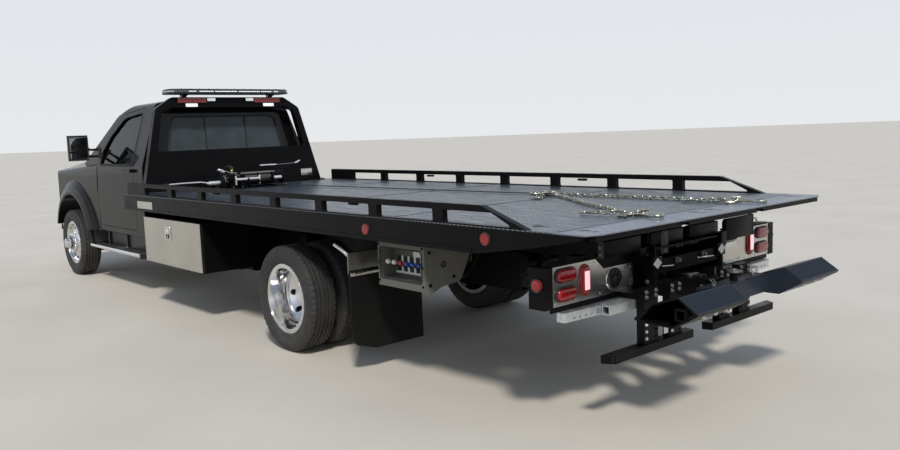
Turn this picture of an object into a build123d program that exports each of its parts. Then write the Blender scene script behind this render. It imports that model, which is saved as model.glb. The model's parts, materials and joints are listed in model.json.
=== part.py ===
from build123d import *
from math import cos, hypot, radians, sin, sqrt, tan
import os

# Flatbed tow truck: medium-duty cab chassis with a tilting, sliding steel deck and a wheel lift.
# Millimetres. While modelling, x is measured forwards from the rear axle, y to the left and z up
# from the ground. save() moves everything so that the origin is below the middle of the length.

# Overall sizes
WHEELBASE = 5207
FRONT_OVERHANG = 973
DECK_FRONT = 2945
DECK_REAR = -2885
DECK_HALF = 1208
DECK_TOP = 1072
CAB_BACK = 3048
CAB_HALF = 985
ROOF_TOP = 2030

# Wheels and axles
TYRE_D = 790
TYRE_W = 225
RIM_D = 495
FRONT_TRACK = 1900
DUAL_SPACING = 270
REAR_DUAL_Y = 933
KINGPIN_Y = 780
ARCH_R = 585
FLARE_W = 62
HUB_GAP = 0.3

# Chassis frame
RAIL_HALF = 434
RAIL_H = 254
RAIL_FLANGE = 76
RAIL_T = 9
FRAME_TOP = 800
FRAME_REAR = -1700

# Bed: tilting subframe and sliding deck
PIVOT_X = -1760
PIVOT_Z = 745
PIVOT_R = 30
SUB_GAP = 6
SUB_H = 100
SUB_FRONT = 2600
SUB_REAR = -2450
PAD_T = 5.7
SEAT_GAP = 0.3
DECK_T = 6
SILL_W = 70
BEAM_H = 147
BEAM_W = 60
CROSS_H = 76
CROSS_PITCH = 305
KNEE_X = -2120
RAIL_RISE = 113
RAIL_WALL = 40
POST_PITCH = 608
POST_W = 84
POST_FIRST = -1808
SLOPE_TOP_X = -2155
SLOPE_END_X = -2487

# Headache rack and light bar
RACK_X = 2860
RACK_HALF = 1035
RACK_H = 955
RACK_TUBE = 76
RACK_LEAN = 5.4
RACK_PANEL_H = 405
BAR_HALF = 695
BAR_DEPTH = 250
BAR_H = 55

# Tail and wheel lift
TAIL_X = -2555
TAIL_TOP = 877
TAIL_BOTTOM = 672
PANEL_OUT = 1100
PANEL_IN = 430
PANEL_T = 3
HOUSING_HALF = 358
BOOM_PIVOT_X = -2050
BOOM_Z = 620
BOOM_SIZE = 127
BOOM_WALL = 8
BOOM_END = -2780
BOOM_GAP = 3.5
INNER_SIZE = BOOM_SIZE - 2 * BOOM_WALL - 2 * BOOM_GAP
CROSSBAR_X = -2922
CROSSBAR_SIZE = 100
SOCKET_X = (-3112, -3052)
SOCKET_Z = (622, 682)
PAD_IN = 300
PAD_OUT = 770

# Side equipment
BOX_X = (1296, 2520)
BOX_Y = (735, 1195)
BOX_Z = (442, 872)
BOX_WALL = 4
LID_T = 20
HINGE_R = 6
FLAP_X = -900
FLAP_Y = (600, 1200)
FLAP_Z = (155, 700)
CTRL_X = (-1540, -1090)
CTRL_Y = (840, 1100)
CTRL_Z = (622, 898)
STEP_X = (3150, 4640)
STEP_Y = (890, 1030)
STEP_Z = 428

# Cab
SILL_Z = 590
CAB_WALL = 50
DOOR_GAP = 5
GLASS_T = 6
GLASS_SINK = 18
FIREWALL_X = 4640
HOOD_HALF = 735
HOOD_T = 28
TUNNEL_HALF = 545
HOOD_REAR = 4850
CLIP_SLOPE = -0.065

# Values worked out from those above
AXLE_Z = TYRE_D / 2
FRONT_END = WHEELBASE + FRONT_OVERHANG
REAR_END = -3172
X_MID = (FRONT_END + REAR_END) / 2
FRONT_WHEEL_Y = FRONT_TRACK / 2
SUB_BOTTOM = FRAME_TOP + SUB_GAP
SUB_TOP = SUB_BOTTOM + SUB_H
SILL_BOTTOM = SUB_TOP + PAD_T + SEAT_GAP
FLOOR_UNDER = DECK_TOP - DECK_T
SUB_Y = RAIL_HALF - RAIL_FLANGE / 2
SIDES = {"left": 1, "right": -1}

# Places used by several pieces
CROSS_MEMBERS = (-1600, -420, 480, 2000, 5700)
KINGPIN_R = 20
HAND_HOLES = 8
HAND_CIRCLE = 176
LUG_NUTS = 10
NUT_CIRCLE = 112.5
DISC_T = 12
FRONT_FACE = 84
SPINDLE_SHORT = 75
DRUM_DEPTH = 150
LAMP_X = 5830
LAMP_Y = (640, 955)
LAMP_Z = (905, 1205)
GRILLE_HALF = 635
GRILLE_Z = (835, 1228)
TILT_BASE = (620, 620)
TILT_EYE = (1560, 765)
TILT_PIN_R = 18
TILT_LUGS = ((215, 227), (309, 321))
SLIDE_Z = SUB_TOP + 42
SLIDE_R = 34
SLIDE_ROD_R = 21
DRUM_X = 2510
DRUM_Z = DECK_TOP + 92
ROLLER_Z = DECK_TOP + 62
WOUND_R = 60
CABLE_R = 5
SLEEVE_R = 11
LIGHT_BAR_Z = DECK_TOP + RACK_H + 28
BAR_CENTRE = 3000
HOOK_X = -1120
HOOK_Y = -430
CHAIN_FEET = ((-2560, 400), (-2650, -500))
KEY_SLOTS = ((-2718, 1050), (-2718, 80), (-2400, 1035))
BAR_X = -2700
BAR_Z = 355
POSTS_Y = ((430, 560), (203, 318))
LAMPS = ((1006, 828, 152, 64), (1004, 730, 152, 64), (852, 779, 62, 158), (607, 752, 118, 118))


def block(x, y, z):
    """A box between two values along each axis."""
    size = [abs(v[1] - v[0]) for v in (x, y, z)]
    middle = [(v[0] + v[1]) / 2 for v in (x, y, z)]
    return Pos(*middle) * Box(*size)


def rod(start, end, radius, hollow=0):
    """A round bar between two points, or a tube where hollow is its inner radius."""
    line = Line(start, end)
    plane = Plane(origin=start, z_dir=line % 0)
    section = Circle(radius)
    if hollow:
        section = section - Circle(hollow)
    return extrude(plane * section, amount=line.length)


def disc_y(x, y0, y1, z, radius, hollow=0):
    return rod((x, y0, z), (x, y1, z), radius, hollow)


def moved_in(corners, inset):
    """Corners (u, v, radius) of an anticlockwise outline, each side moved in by inset."""
    result = []
    count = len(corners)
    for i in range(count):
        u0, v0, _ = corners[i - 1]
        u1, v1, radius = corners[i]
        u2, v2, _ = corners[(i + 1) % count]
        a = hypot(u1 - u0, v1 - v0)
        b = hypot(u2 - u1, v2 - v1)
        n1 = (-(v1 - v0) / a, (u1 - u0) / a)
        n2 = (-(v2 - v1) / b, (u2 - u1) / b)
        scale = inset / (1 + n1[0] * n2[0] + n1[1] * n2[1])
        u = u1 + (n1[0] + n2[0]) * scale
        v = v1 + (n1[1] + n2[1]) * scale
        result.append((u, v, max(radius - inset, 0) if radius else 0))
    return result


def outline(corners):
    """A face with straight sides and a round of the given radius at each corner (u, v, radius)."""
    edges = []
    joints = []
    count = len(corners)
    for i in range(count):
        u0, v0 = corners[i - 1][:2]
        u1, v1 = corners[i][:2]
        u2, v2 = corners[(i + 1) % count][:2]
        radius = corners[i][2] if len(corners[i]) > 2 else 0
        d1 = Vector(u0 - u1, v0 - v1).normalized()
        d2 = Vector(u2 - u1, v2 - v1).normalized()
        half = radians(d1.get_angle(d2)) / 2
        if radius < 0.01:
            joints.append((Vector(u1, v1), Vector(u1, v1)))
            continue
        reach = radius / tan(half)
        first = Vector(u1, v1) + d1 * reach
        last = Vector(u1, v1) + d2 * reach
        bisector = (d1 + d2).normalized()
        middle = Vector(u1, v1) + bisector * (radius / sin(half) - radius)
        edges.append(ThreePointArc(first, middle, last))
        joints.append((first, last))
    for i in range(count):
        start = joints[i - 1][1]
        end = joints[i][0]
        if (end - start).length > 0.001:
            edges.append(Line(start, end))
    return make_face(edges)


def along_y(corners, y0, y1):
    """The outline (x, z, radius) carried from y0 to y1."""
    face = Plane.XZ * outline(corners)
    return Pos(0, y0, 0) * extrude(face, amount=y1 - y0, dir=(0, 1, 0))


def along_x(corners, x0, x1, slope=0):
    """The outline (y, z, radius) carried from x0 to x1, rising by slope."""
    face = Plane.YZ * outline(corners)
    length = (x1 - x0) * sqrt(1 + slope * slope)
    return Pos(x0, 0, 0) * extrude(face, amount=length, dir=(1, 0, slope))


def along_z(corners, z0, z1):
    """The outline (x, y, radius) carried from z0 to z1."""
    return Pos(0, 0, z0) * extrude(outline(corners), amount=z1 - z0)


def spun(profile, y_centre=0, x=0, z=AXLE_Z):
    """A ring or disc about the Y direction from its half section (radius, y)."""
    face = make_face(Polyline(*profile, close=True))
    return Pos(x, y_centre, z) * revolve(face, axis=Axis.Y)


def both_sides(shape):
    """The left piece and its mirror image on the right."""
    return group(shape, mirror(shape, about=Plane.XZ))


def group(*shapes):
    return Compound([solid for shape in shapes for solid in shape.solids()])


def mirrored_section(half):
    """A closed outline from the right-hand half of its corners, listed bottom to top."""
    return half + [(-u, v, r) for u, v, r in reversed(half)]


# Chassis
def chassis_frame():
    """Two channel rails, channels across between them, and the pins of the bed and its cylinders."""
    web = block((FRAME_REAR, FRONT_END - 230), (RAIL_HALF - RAIL_T, RAIL_HALF),
                (FRAME_TOP - RAIL_H, FRAME_TOP))
    flange = block((FRAME_REAR, FRONT_END - 230), (RAIL_HALF - RAIL_FLANGE, RAIL_HALF),
                   (FRAME_TOP - RAIL_T, FRAME_TOP))
    rail = web + flange + Pos(0, 0, RAIL_T - RAIL_H) * flange
    lug = along_y([(FRAME_REAR + 90, FRAME_TOP, 0), (PIVOT_X - 40, FRAME_TOP - 5, 20),
                   (PIVOT_X - 40, PIVOT_Z - 45, 20), (FRAME_REAR + 90, FRAME_TOP - 200, 0)],
                  RAIL_HALF, RAIL_HALF + 16)
    inner = RAIL_HALF - RAIL_T
    pieces = [both_sides(rail + lug)]
    for x in CROSS_MEMBERS:
        channel = [(x - 45, FRAME_TOP - 60), (x + 45, FRAME_TOP - 60), (x + 45, FRAME_TOP - 68),
                   (x - 37, FRAME_TOP - 68), (x - 37, FRAME_TOP - 172), (x + 45, FRAME_TOP - 172),
                   (x + 45, FRAME_TOP - 180), (x - 45, FRAME_TOP - 180)]
        pieces.append(along_y(channel, -inner, inner))
    pieces.append(disc_y(PIVOT_X, -inner, inner, PIVOT_Z, PIVOT_R))
    pieces.append(disc_y(TILT_BASE[0], -inner, inner, TILT_BASE[1], TILT_PIN_R))
    pieces.append(both_sides(disc_y(PIVOT_X, RAIL_HALF + 16, RAIL_HALF + 28, PIVOT_Z, PIVOT_R + 12)))
    return group(*pieces)


def rear_axle():
    reach = REAR_DUAL_Y - DISC_T - DRUM_DEPTH - SEAT_GAP
    tube = disc_y(0, -reach, reach, AXLE_Z, 62)
    bowl = spun([(0, -150), (110, -135), (165, -60), (165, 60), (110, 135), (0, 150)])
    bowl = Pos(0, 0, AXLE_Z) * Rot(0, 0, 90) * Pos(0, 0, -AXLE_Z) * bowl
    nose = rod((60, 0, AXLE_Z), (260, 0, AXLE_Z + 25), 62)
    axle = tube + bowl + nose
    for side in (1, -1):
        axle = axle + disc_y(0, side * (reach - 12), side * reach, AXLE_Z, 110)
    return axle


def leaf_springs(x, y, half_length, z_seat, leaves):
    """Leaf pack clamped over an axle, with its two hangers against the rail."""
    pack = None
    for i in range(leaves):
        half = half_length * (1 - 0.22 * i)
        z0 = z_seat + 12 * (leaves - 1 - i)
        rise = 95 * (half / half_length) ** 2
        low = ThreePointArc((x - half, z0 + rise), (x, z0), (x + half, z0 + rise))
        high = ThreePointArc((x - half, z0 + rise + 12), (x, z0 + 12), (x + half, z0 + rise + 12))
        ends = [Line(low @ 0, high @ 0), Line(low @ 1, high @ 1)]
        face = Plane.XZ * make_face([low, high] + ends)
        leaf = Pos(0, y, 0) * extrude(face, amount=38, both=True)
        pack = leaf if pack is None else pack + leaf
    top = z_seat + 12 * (leaves - 1) + 95
    for end in (-1, 1):
        cx = x + end * half_length
        eye = disc_y(cx, y - 38, y + 38, top + 10, 26)
        hanger = along_y([(cx - 45, top + 10, 12), (cx + 45, top + 10, 12), (cx + 70, FRAME_TOP - 40, 0),
                          (cx - 70, FRAME_TOP - 40, 0)], RAIL_HALF, y + 46)
        pack = pack + eye + hanger
    clamp = block((x - 75, x + 75), (y - 48, y + 48), (z_seat - 14, z_seat))
    cap = block((x - 75, x + 75), (y - 48, y + 48), (z_seat + 12 * leaves, z_seat + 12 * leaves + 14))
    bolts = None
    for bx in (-60, 60):
        for by in (-44, 44):
            bolt = rod((x + bx, y + by, z_seat - 30), (x + bx, y + by, z_seat + 12 * leaves + 30), 8)
            bolts = bolt if bolts is None else bolts + bolt
    return pack + clamp + cap + bolts


def rear_suspension():
    springs = both_sides(leaf_springs(0, RAIL_HALF + 86, 690, AXLE_Z + 62 + 14, 5))
    return group(rear_axle(), springs)


def front_axle():
    beam = block((WHEELBASE - 40, WHEELBASE + 40), (-KINGPIN_Y + 60, KINGPIN_Y - 60),
                 (AXLE_Z - 95, AXLE_Z - 5))
    beam = beam - block((WHEELBASE - 50, WHEELBASE - 12), (-640, 640), (AXLE_Z - 75, AXLE_Z - 25))
    beam = beam - block((WHEELBASE + 12, WHEELBASE + 50), (-640, 640), (AXLE_Z - 75, AXLE_Z - 25))
    for side in (1, -1):
        y = side * KINGPIN_Y
        beam = beam + rod((WHEELBASE, y, AXLE_Z - 70), (WHEELBASE, y, AXLE_Z + 40), 34)
        beam = beam + block((WHEELBASE - 30, WHEELBASE + 30), (y - side * 80, y), (AXLE_Z - 60, AXLE_Z + 10))
        beam = beam + rod((WHEELBASE, y, AXLE_Z - 105), (WHEELBASE, y, AXLE_Z + 75), KINGPIN_R)
    return beam


def front_suspension():
    springs = both_sides(leaf_springs(WHEELBASE, RAIL_HALF + 50, 560, AXLE_Z - 5 + 14, 3))
    return group(front_axle(), springs)


def knuckle():
    """Left steering knuckle: yoke round the kingpin, spindle and steering arm."""
    y = KINGPIN_Y
    reach = FRONT_WHEEL_Y - SPINDLE_SHORT
    yoke = block((WHEELBASE - 38, WHEELBASE + 38), (y - 36, y + 60), (AXLE_Z + 45, AXLE_Z + 80))
    yoke = yoke + block((WHEELBASE - 38, WHEELBASE + 38), (y - 36, y + 60), (AXLE_Z - 110, AXLE_Z - 75))
    yoke = yoke + block((WHEELBASE - 38, WHEELBASE + 38), (y + 38, y + 60), (AXLE_Z - 110, AXLE_Z + 80))
    spindle = disc_y(WHEELBASE, y + 60, reach, AXLE_Z, 45)
    arm = along_z([(WHEELBASE - 230, y - 20, 20), (WHEELBASE - 30, y - 20, 0), (WHEELBASE - 30, y + 40, 0),
                   (WHEELBASE - 230, y + 20, 18)], AXLE_Z - 108, AXLE_Z - 84)
    hole = rod((WHEELBASE, y, AXLE_Z - 120), (WHEELBASE, y, AXLE_Z + 90), KINGPIN_R + 0.05)
    return yoke + spindle + arm - hole


def tyre(y):
    half = TYRE_W / 2
    r = TYRE_D / 2
    bead = RIM_D / 2 - 1 + SEAT_GAP
    right = [(bead, half - 36), (bead + 74, half), (r - 38, half - 6), (r - 10, half - 22), (r, half - 34)]
    left = [(radius, -width) for radius, width in reversed(right)]
    return spun(right + left, y)


def rim_barrel():
    """Flanged barrel with a drop centre, as a ring about the wheel's middle plane."""
    edge = RIM_D / 2
    outer = TYRE_W / 2 - 22
    return spun([(edge - 20, -outer), (edge + 12, -outer), (edge + 12, -outer + 6), (edge - 1, -outer + 12),
                 (edge - 1, -40), (edge - 30, -22), (edge - 30, 22), (edge - 1, 40),
                 (edge - 1, outer - 12), (edge + 12, outer - 6), (edge + 12, outer), (edge - 20, outer),
                 (edge - 38, 30), (edge - 38, -30)])


def wheel_disc(face, weld, weld_r):
    """Domed disc with its nut face at y = face, welded into the barrel at y = weld."""
    dome = 1 if face > weld else -1
    front = [(weld_r, weld), (203, weld + dome * 4), (150, face - dome * 9), (126, face), (0, face)]
    back = [(radius, y - DISC_T) for radius, y in reversed(front)]
    disc = spun(back + front)
    middle = (face + weld) / 2
    for i in range(HAND_HOLES):
        angle = radians(360 / HAND_HOLES * i)
        hole_z = AXLE_Z + HAND_CIRCLE * sin(angle)
        hole = disc_y(HAND_CIRCLE * cos(angle), middle - 80, middle + 80, hole_z, 22)
        disc = disc - hole
    return disc


def nut_ring(face):
    nuts = []
    for i in range(LUG_NUTS):
        angle = radians(360 / LUG_NUTS * (i + 0.5))
        place = Pos(NUT_CIRCLE * cos(angle), face - 2, AXLE_Z + NUT_CIRCLE * sin(angle)) * Rot(-90, 0, 0)
        nuts.append(place * extrude(RegularPolygon(15, 6), amount=26))
    return nuts


def with_nuts(wheel, face):
    for nut in nut_ring(face):
        wheel = wheel + nut
    return wheel


def front_rim(y):
    """Left front wheel: disc domed outwards, brake disc towards the knuckle and a tall hub cover."""
    face = FRONT_FACE
    wheel = rim_barrel() + wheel_disc(face, face - 42, RIM_D / 2 - 34)
    hub = spun([(0, -SPINDLE_SHORT + SEAT_GAP), (88, -SPINDLE_SHORT + SEAT_GAP), (88, -46), (170, -46),
                (170, -16), (88, -16), (88, face), (84, face + 14), (78, face + 20), (74, face + 66),
                (62, face + 74), (58, face + 98), (48, face + 106), (0, face + 106)])
    return Pos(0, y, 0) * with_nuts(wheel + hub, face)


def rear_outer_rim(y):
    """Left outer rear wheel: deep disc with the end of the axle standing out of it."""
    face = DISC_T - DUAL_SPACING / 2
    wheel = rim_barrel() + wheel_disc(face, -58, RIM_D / 2 - 20)
    hub = spun([(0, face), (90, face), (90, face + 16), (74, face + 22), (74, face + 78), (66, face + 90),
                (0, face + 90)])
    return Pos(0, y, 0) * with_nuts(wheel + hub, face)


def rear_inner_rim():
    """Inner rear wheel facing outwards, with the brake drum on its back."""
    face = DISC_T - DUAL_SPACING / 2
    wheel = rim_barrel() + wheel_disc(face, -58, RIM_D / 2 - 20)
    back = face + DRUM_DEPTH
    drum = spun([(0, face), (178, face + 22), (184, face + 30), (184, back), (0, back)])
    return wheel + drum


# Cab
def cab_side_corners():
    return [(CAB_BACK, SILL_Z, 30), (FIREWALL_X, SILL_Z, 0), (FIREWALL_X, 1180, 0), (4830, 1345, 0),
            (4110, 1868, 220), (3700, 1990, 500), (3420, 2014, 0), (3190, 2014, 90),
            (CAB_BACK + 62, 1900, 160), (CAB_BACK, 1320, 120)]


def cab_section_corners():
    return mirrored_section([(CAB_HALF - 12, SILL_Z, 20), (CAB_HALF, 980, 300), (CAB_HALF - 16, 1325, 60),
                             (CAB_HALF - 235, 1968, 95), (390, ROOF_TOP, 700)])


def cab_solid(inset):
    side = along_y(moved_in(cab_side_corners(), inset), -CAB_HALF - 50, CAB_HALF + 50)
    section = along_x(moved_in(cab_section_corners(), inset), CAB_BACK - 100, 5000)
    return side & section


def door_corners():
    return [(3262, 655, 60), (4385, 655, 60), (4385, 1500, 40), (4215, 1690, 160), (3900, 1890, 350),
            (3310, 1940, 70)]


def door_window_corners():
    return [(3338, 1345, 45), (4300, 1345, 30), (4308, 1475, 50), (4165, 1650, 150), (3880, 1843, 350),
            (3386, 1888, 60)]


def windscreen_corners():
    return mirrored_section([(810, 1402, 60), (660, 1838, 70)])


def rear_window_corners():
    return mirrored_section([(700, 1345, 70), (600, 1830, 80)])


def cab_shell():
    shell = cab_solid(0) - cab_solid(CAB_WALL)
    shell = shell - along_y(door_corners(), -1200, 1200)
    shell = shell - along_x(windscreen_corners(), 4030, 5000)
    shell = shell - along_x(rear_window_corners(), CAB_BACK - 100, 3300)
    cowl_side = block((4390, 5000), (CAB_HALF - 32, 1200), (500, 1345))
    shell = shell - cowl_side - mirror(cowl_side, about=Plane.XZ)
    mounts = None
    for x in (3250, 4500):
        for side in (1, -1):
            mount = rod((x, side * 400, FRAME_TOP), (x, side * 400, FRAME_TOP + 20), 55)
            mounts = mount if mounts is None else mounts + mount
    tunnel = block((CAB_BACK - 10, FIREWALL_X + 10), (-TUNNEL_HALF, TUNNEL_HALF),
                   (SILL_Z - 10, FRAME_TOP + 20))
    outer = TUNNEL_HALF + 40
    floor = block((CAB_BACK + 30, FIREWALL_X - 30), (-outer, outer), (FRAME_TOP + 20, FRAME_TOP + 60))
    for side in (1, -1):
        y = (side * TUNNEL_HALF, side * outer)
        floor = floor + block((CAB_BACK + 30, FIREWALL_X - 30), y, (SILL_Z + 10, FRAME_TOP + 60))
    hinges = None
    for side in (1, -1):
        for z in (800, 1150):
            hinge = block((4385 - DOOR_GAP + SEAT_GAP, 4400), (side * 930, side * 952), (z, z + 100))
            hinges = hinge if hinges is None else hinges + hinge
        arm = block((4780, 4905), (side * 590, side * 640), (1345, 1500)) & clip_solid(HOOD_T + SEAT_GAP)
        hinges = hinges + arm
    return shell - tunnel + floor + mounts + hinges


def door(side):
    skin = cab_solid(0) - cab_solid(CAB_WALL)
    panel = skin & along_y(moved_in(door_corners(), DOOR_GAP), 300, 1200)
    panel = panel - along_y(door_window_corners(), 300, 1200)
    grip = along_x([(CAB_HALF + 28, 1264, 8), (CAB_HALF + 28, 1302, 8), (CAB_HALF + 8, 1302, 8),
                    (CAB_HALF + 8, 1264, 8)], 3280, 3500)
    posts = block((3286, 3312), (CAB_HALF - 24, CAB_HALF + 16), (1270, 1296))
    posts = posts + block((3468, 3494), (CAB_HALF - 24, CAB_HALF + 16), (1270, 1296))
    return side_of(panel + grip + posts + mirror_head(), side)


def side_of(shape, side):
    return shape if side > 0 else mirror(shape, about=Plane.XZ)


def glass_layer():
    return cab_solid(GLASS_SINK) - cab_solid(GLASS_SINK + GLASS_T)


def door_glass(side):
    pane = glass_layer() & along_y(moved_in(door_window_corners(), SEAT_GAP), 300, 1200)
    return side_of(pane, side)


def windscreen():
    return glass_layer() & along_x(moved_in(windscreen_corners(), SEAT_GAP), 4060, 5000)


def rear_window():
    return glass_layer() & along_x(moved_in(rear_window_corners(), SEAT_GAP), CAB_BACK - 100, 3250)


def mirror_head():
    """Tall towing mirror on two arms from the front of the door."""
    head = along_z([(4300, 1065, 15), (4392, 1085, 30), (4392, 1270, 40), (4300, 1290, 15)], 1395, 1675)
    arms = None
    for z in (1425, 1500):
        arm = block((4330, 4356), (920, 1075), (z, z + 24))
        arms = arm if arms is None else arms + arm
    return head + (arms - cab_solid(0))


def dashboard():
    top = along_y([(4300, 1000, 40), (4600, 960, 0), (4600, 1270, 0), (4400, 1290, 40), (4290, 1180, 50)],
                  -900, 900)
    return top & cab_solid(CAB_WALL + SEAT_GAP)


def steering_wheel():
    centre = (4130, 420, 1200)
    tilt = Plane(origin=centre, x_dir=(0, 1, 0), z_dir=(-0.86, 0, 0.5))
    ring = tilt * Torus(185, 15)
    hub = extrude(tilt * Circle(62), amount=-45)
    spokes = tilt * (Box(355, 34, 14) + Pos(0, -90, 0) * Box(34, 180, 14))
    column = rod((4130 + 30, 420, 1200 - 17), (4300, 420, 1101), 32)
    return ring + hub + spokes + column - dashboard()


def seats():
    """Driver's and passenger's seats as plain closed forms, base and back."""
    pieces = []
    for y in (430, -430):
        base = along_y([(3420, 1000, 40), (3420, 875, 10), (3960, 875, 10), (3990, 1010, 60)],
                       y - 240, y + 240)
        back = along_y([(3430, 985, 0), (3520, 985, 0), (3330, 1660, 45), (3220, 1650, 45)],
                       y - 230, y + 230)
        foot = block((3450, 3900), (y - 200, y + 200), (FRAME_TOP + 60.3, 875))
        pieces.append(base + back + foot)
    return group(*pieces)


# Front end
def clip_side_corners():
    return [(4390, 560, 0), (6030, 560, 0), (6090, 800, 30), (6092, 1120, 60), (6045, 1300, 70),
            (5600, 1402, 600), (4800, 1442, 0), (4390, 1442, 0)]


def clip_section_corners():
    return mirrored_section([(CAB_HALF - 10, 500, 0), (CAB_HALF, 1080, 200), (CAB_HALF - 14, 1345, 60),
                             (HOOD_HALF + 20, 1392, 60), (540, 1462, 120)])


def clip_solid(inset):
    section = along_x(moved_in(clip_section_corners(), inset), 4390, 6300, CLIP_SLOPE)
    side = along_y(moved_in(clip_side_corners(), inset), -1100, 1100)
    plan = moved_in([(4300, -1050, 0), (5640, -1050, 300), (5975, -925, 160), (6110, -700, 260),
                     (6110, 700, 260), (5975, 925, 160), (5640, 1050, 300), (4300, 1050, 0)], inset)
    return section & side & along_z(plan, 300, 1700)


def front_fenders():
    """Both wings, open over the wheel, with the bonnet, lamps and grille cut out."""
    skin = clip_solid(0) - clip_solid(26)
    wing = skin & block((4390, 6060), (HOOD_HALF + DOOR_GAP, 1100), (SILL_Z, 1500))
    wing = wing - disc_y(WHEELBASE, 300, 1200, AXLE_Z, ARCH_R)
    lamp_hole = block((LAMP_X - SEAT_GAP, 6200), (LAMP_Y[0] - SEAT_GAP, LAMP_Y[1] + SEAT_GAP),
                      (LAMP_Z[0] - SEAT_GAP, LAMP_Z[1] + SEAT_GAP))
    wing = wing - lamp_hole
    liner_corners = disc_y(WHEELBASE, 560, CAB_HALF - 27, AXLE_Z, ARCH_R + 12, ARCH_R)
    liner = liner_corners & block((4000, 6100), (0, 1200), (SILL_Z, 1400))
    liner = liner + (disc_y(WHEELBASE, 548, 560, AXLE_Z, ARCH_R + 12, 430)
                     & block((4000, 6100), (0, 1200), (AXLE_Z + 420, 1400)))
    arch_top = AXLE_Z + ARCH_R
    tie = block((WHEELBASE - 300, WHEELBASE + 300), (TUNNEL_HALF, HOOD_HALF + 30),
                (arch_top + 11, arch_top + 30))
    piece = wing + liner + tie
    cowl_side = block((4390, 5000), (CAB_HALF - 31.5, 1300), (0, 1345.5))
    piece = piece - (cab_solid(-1) - cowl_side)
    return both_sides(piece)


def fender_flares():
    """Wide flares that run out into the wings well above and behind the wheels."""
    profile = [(ARCH_R, CAB_HALF - 120), (ARCH_R, CAB_HALF + FLARE_W), (ARCH_R + 30, CAB_HALF + FLARE_W),
               (ARCH_R + 100, CAB_HALF + 40), (ARCH_R + 160, CAB_HALF + 6), (ARCH_R + 178, CAB_HALF - 14),
               (ARCH_R + 178, CAB_HALF - 120)]
    ring = spun(profile, 0, WHEELBASE) & block((4395, 5900), (0, 1300), (SILL_Z, 1400))
    return both_sides(ring - clip_solid(-SEAT_GAP) - cab_solid(-1))


def hood():
    skin = clip_solid(0) - clip_solid(HOOD_T)
    panel = skin & block((HOOD_REAR, 6055), (-HOOD_HALF, HOOD_HALF), (1225, 1500))
    return panel - block((6000, 6200), (-1000, 1000), (1000, 1236))


def grille():
    body = clip_solid(0) & block((6020, 6100), (-GRILLE_HALF, GRILLE_HALF), GRILLE_Z)
    opening = block((6000, 6200), (-GRILLE_HALF + 45, GRILLE_HALF - 45), (GRILLE_Z[0] + 40, GRILLE_Z[1] - 45))
    frame = body - opening
    bars = clip_solid(8) & block((6030, 6100), (-GRILLE_HALF, GRILLE_HALF), GRILLE_Z)
    for z in (GRILLE_Z[0] + 120, GRILLE_Z[0] + 215, GRILLE_Z[0] + 310):
        frame = frame + (bars & block((6000, 6200), (-GRILLE_HALF + 40, GRILLE_HALF - 40), (z - 16, z + 16)))
    for y in range(-480, 481, 96):
        frame = frame + (bars & block((6035, 6062), (y - 5, y + 5), (GRILLE_Z[0] + 30, GRILLE_Z[1] - 30)))
    return frame


def headlamps():
    lamp = clip_solid(2) & block((LAMP_X, 6120), LAMP_Y, LAMP_Z)
    return both_sides(lamp)


def radiator():
    core = block((5880, 5950), (-520, 520), (FRAME_TOP + 6, 1180))
    support = block((5860, 6019.7), (-930, 930), (FRAME_TOP + 6, FRAME_TOP + 50)) & clip_solid(30)
    upper = block((5890, 5960), (-LAMP_Y[0] + 10, LAMP_Y[0] - 10), (1180, 1222)) & clip_solid(30)
    legs = None
    for side in (1, -1):
        leg = block((5870, 5940), (side * (RAIL_HALF - 60), side * RAIL_HALF), (FRAME_TOP, FRAME_TOP + 8))
        legs = leg if legs is None else legs + leg
    return core + support + upper + legs


def front_bumper():
    plan = [(FRONT_END - 260, -962, 0), (FRONT_END - 140, -948, 70), (FRONT_END, -740, 220),
            (FRONT_END, 740, 220), (FRONT_END - 140, 948, 70), (FRONT_END - 260, 962, 0)]
    shell = along_z(plan, 500, 770)
    hollow = along_z([(x - 14, y * 0.985, r) for x, y, r in plan], 512, 758)
    rear_room = block((FRONT_END - 280, FRONT_END - 75), (-640, 640), (490, 780))
    intake = block((FRONT_END - 180, FRONT_END + 120), (-430, 430), (545, 660))
    face = shell - hollow - rear_room - intake - clip_solid(-SEAT_GAP)
    for side in (1, -1):
        y = (side * (RAIL_HALF - 70), side * RAIL_HALF)
        face = face + block((FRONT_END - 230, FRONT_END - 12), y, (600, 740))
    return face


def engine_block():
    body = block((4760, 5520), (-300, 300), (650, 1190))
    pan = block((4800, 5120), (-160, 160), (540, 650))
    for side in (1, -1):
        mount = block((5060, 5160), (side * 290, side * (RAIL_HALF - RAIL_T)), (690, 730))
        body = body + mount
    gearbox = rod((4760, 0, 680), (3950, 0, 650), 125)
    return body + pan + gearbox


def drive_shaft():
    joint_x = 2000
    front = rod((3960, 0, 650), (joint_x, 0, 560), 48) - engine_block()
    rear = rod((joint_x, 0, 560), (272, 0, AXLE_Z + 26), 48)
    bearing = block((joint_x - 35, joint_x + 35), (-90, 90), (490, FRAME_TOP - 180))
    return front + rear + bearing


def fuel_tank():
    tank = along_x([(450, 395, 45), (715, 395, 45), (715, 745, 45), (450, 745, 45)], 1330, 2480)
    straps = None
    for x in (1550, 2260):
        strap = block((x - 25, x + 25), (RAIL_HALF, 719), (391, 755))
        strap = strap - block((x - 40, x + 40), (450 - SEAT_GAP, 715 + SEAT_GAP),
                              (395 - SEAT_GAP, 745 + SEAT_GAP))
        straps = strap if straps is None else straps + strap
    return tank + straps


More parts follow.
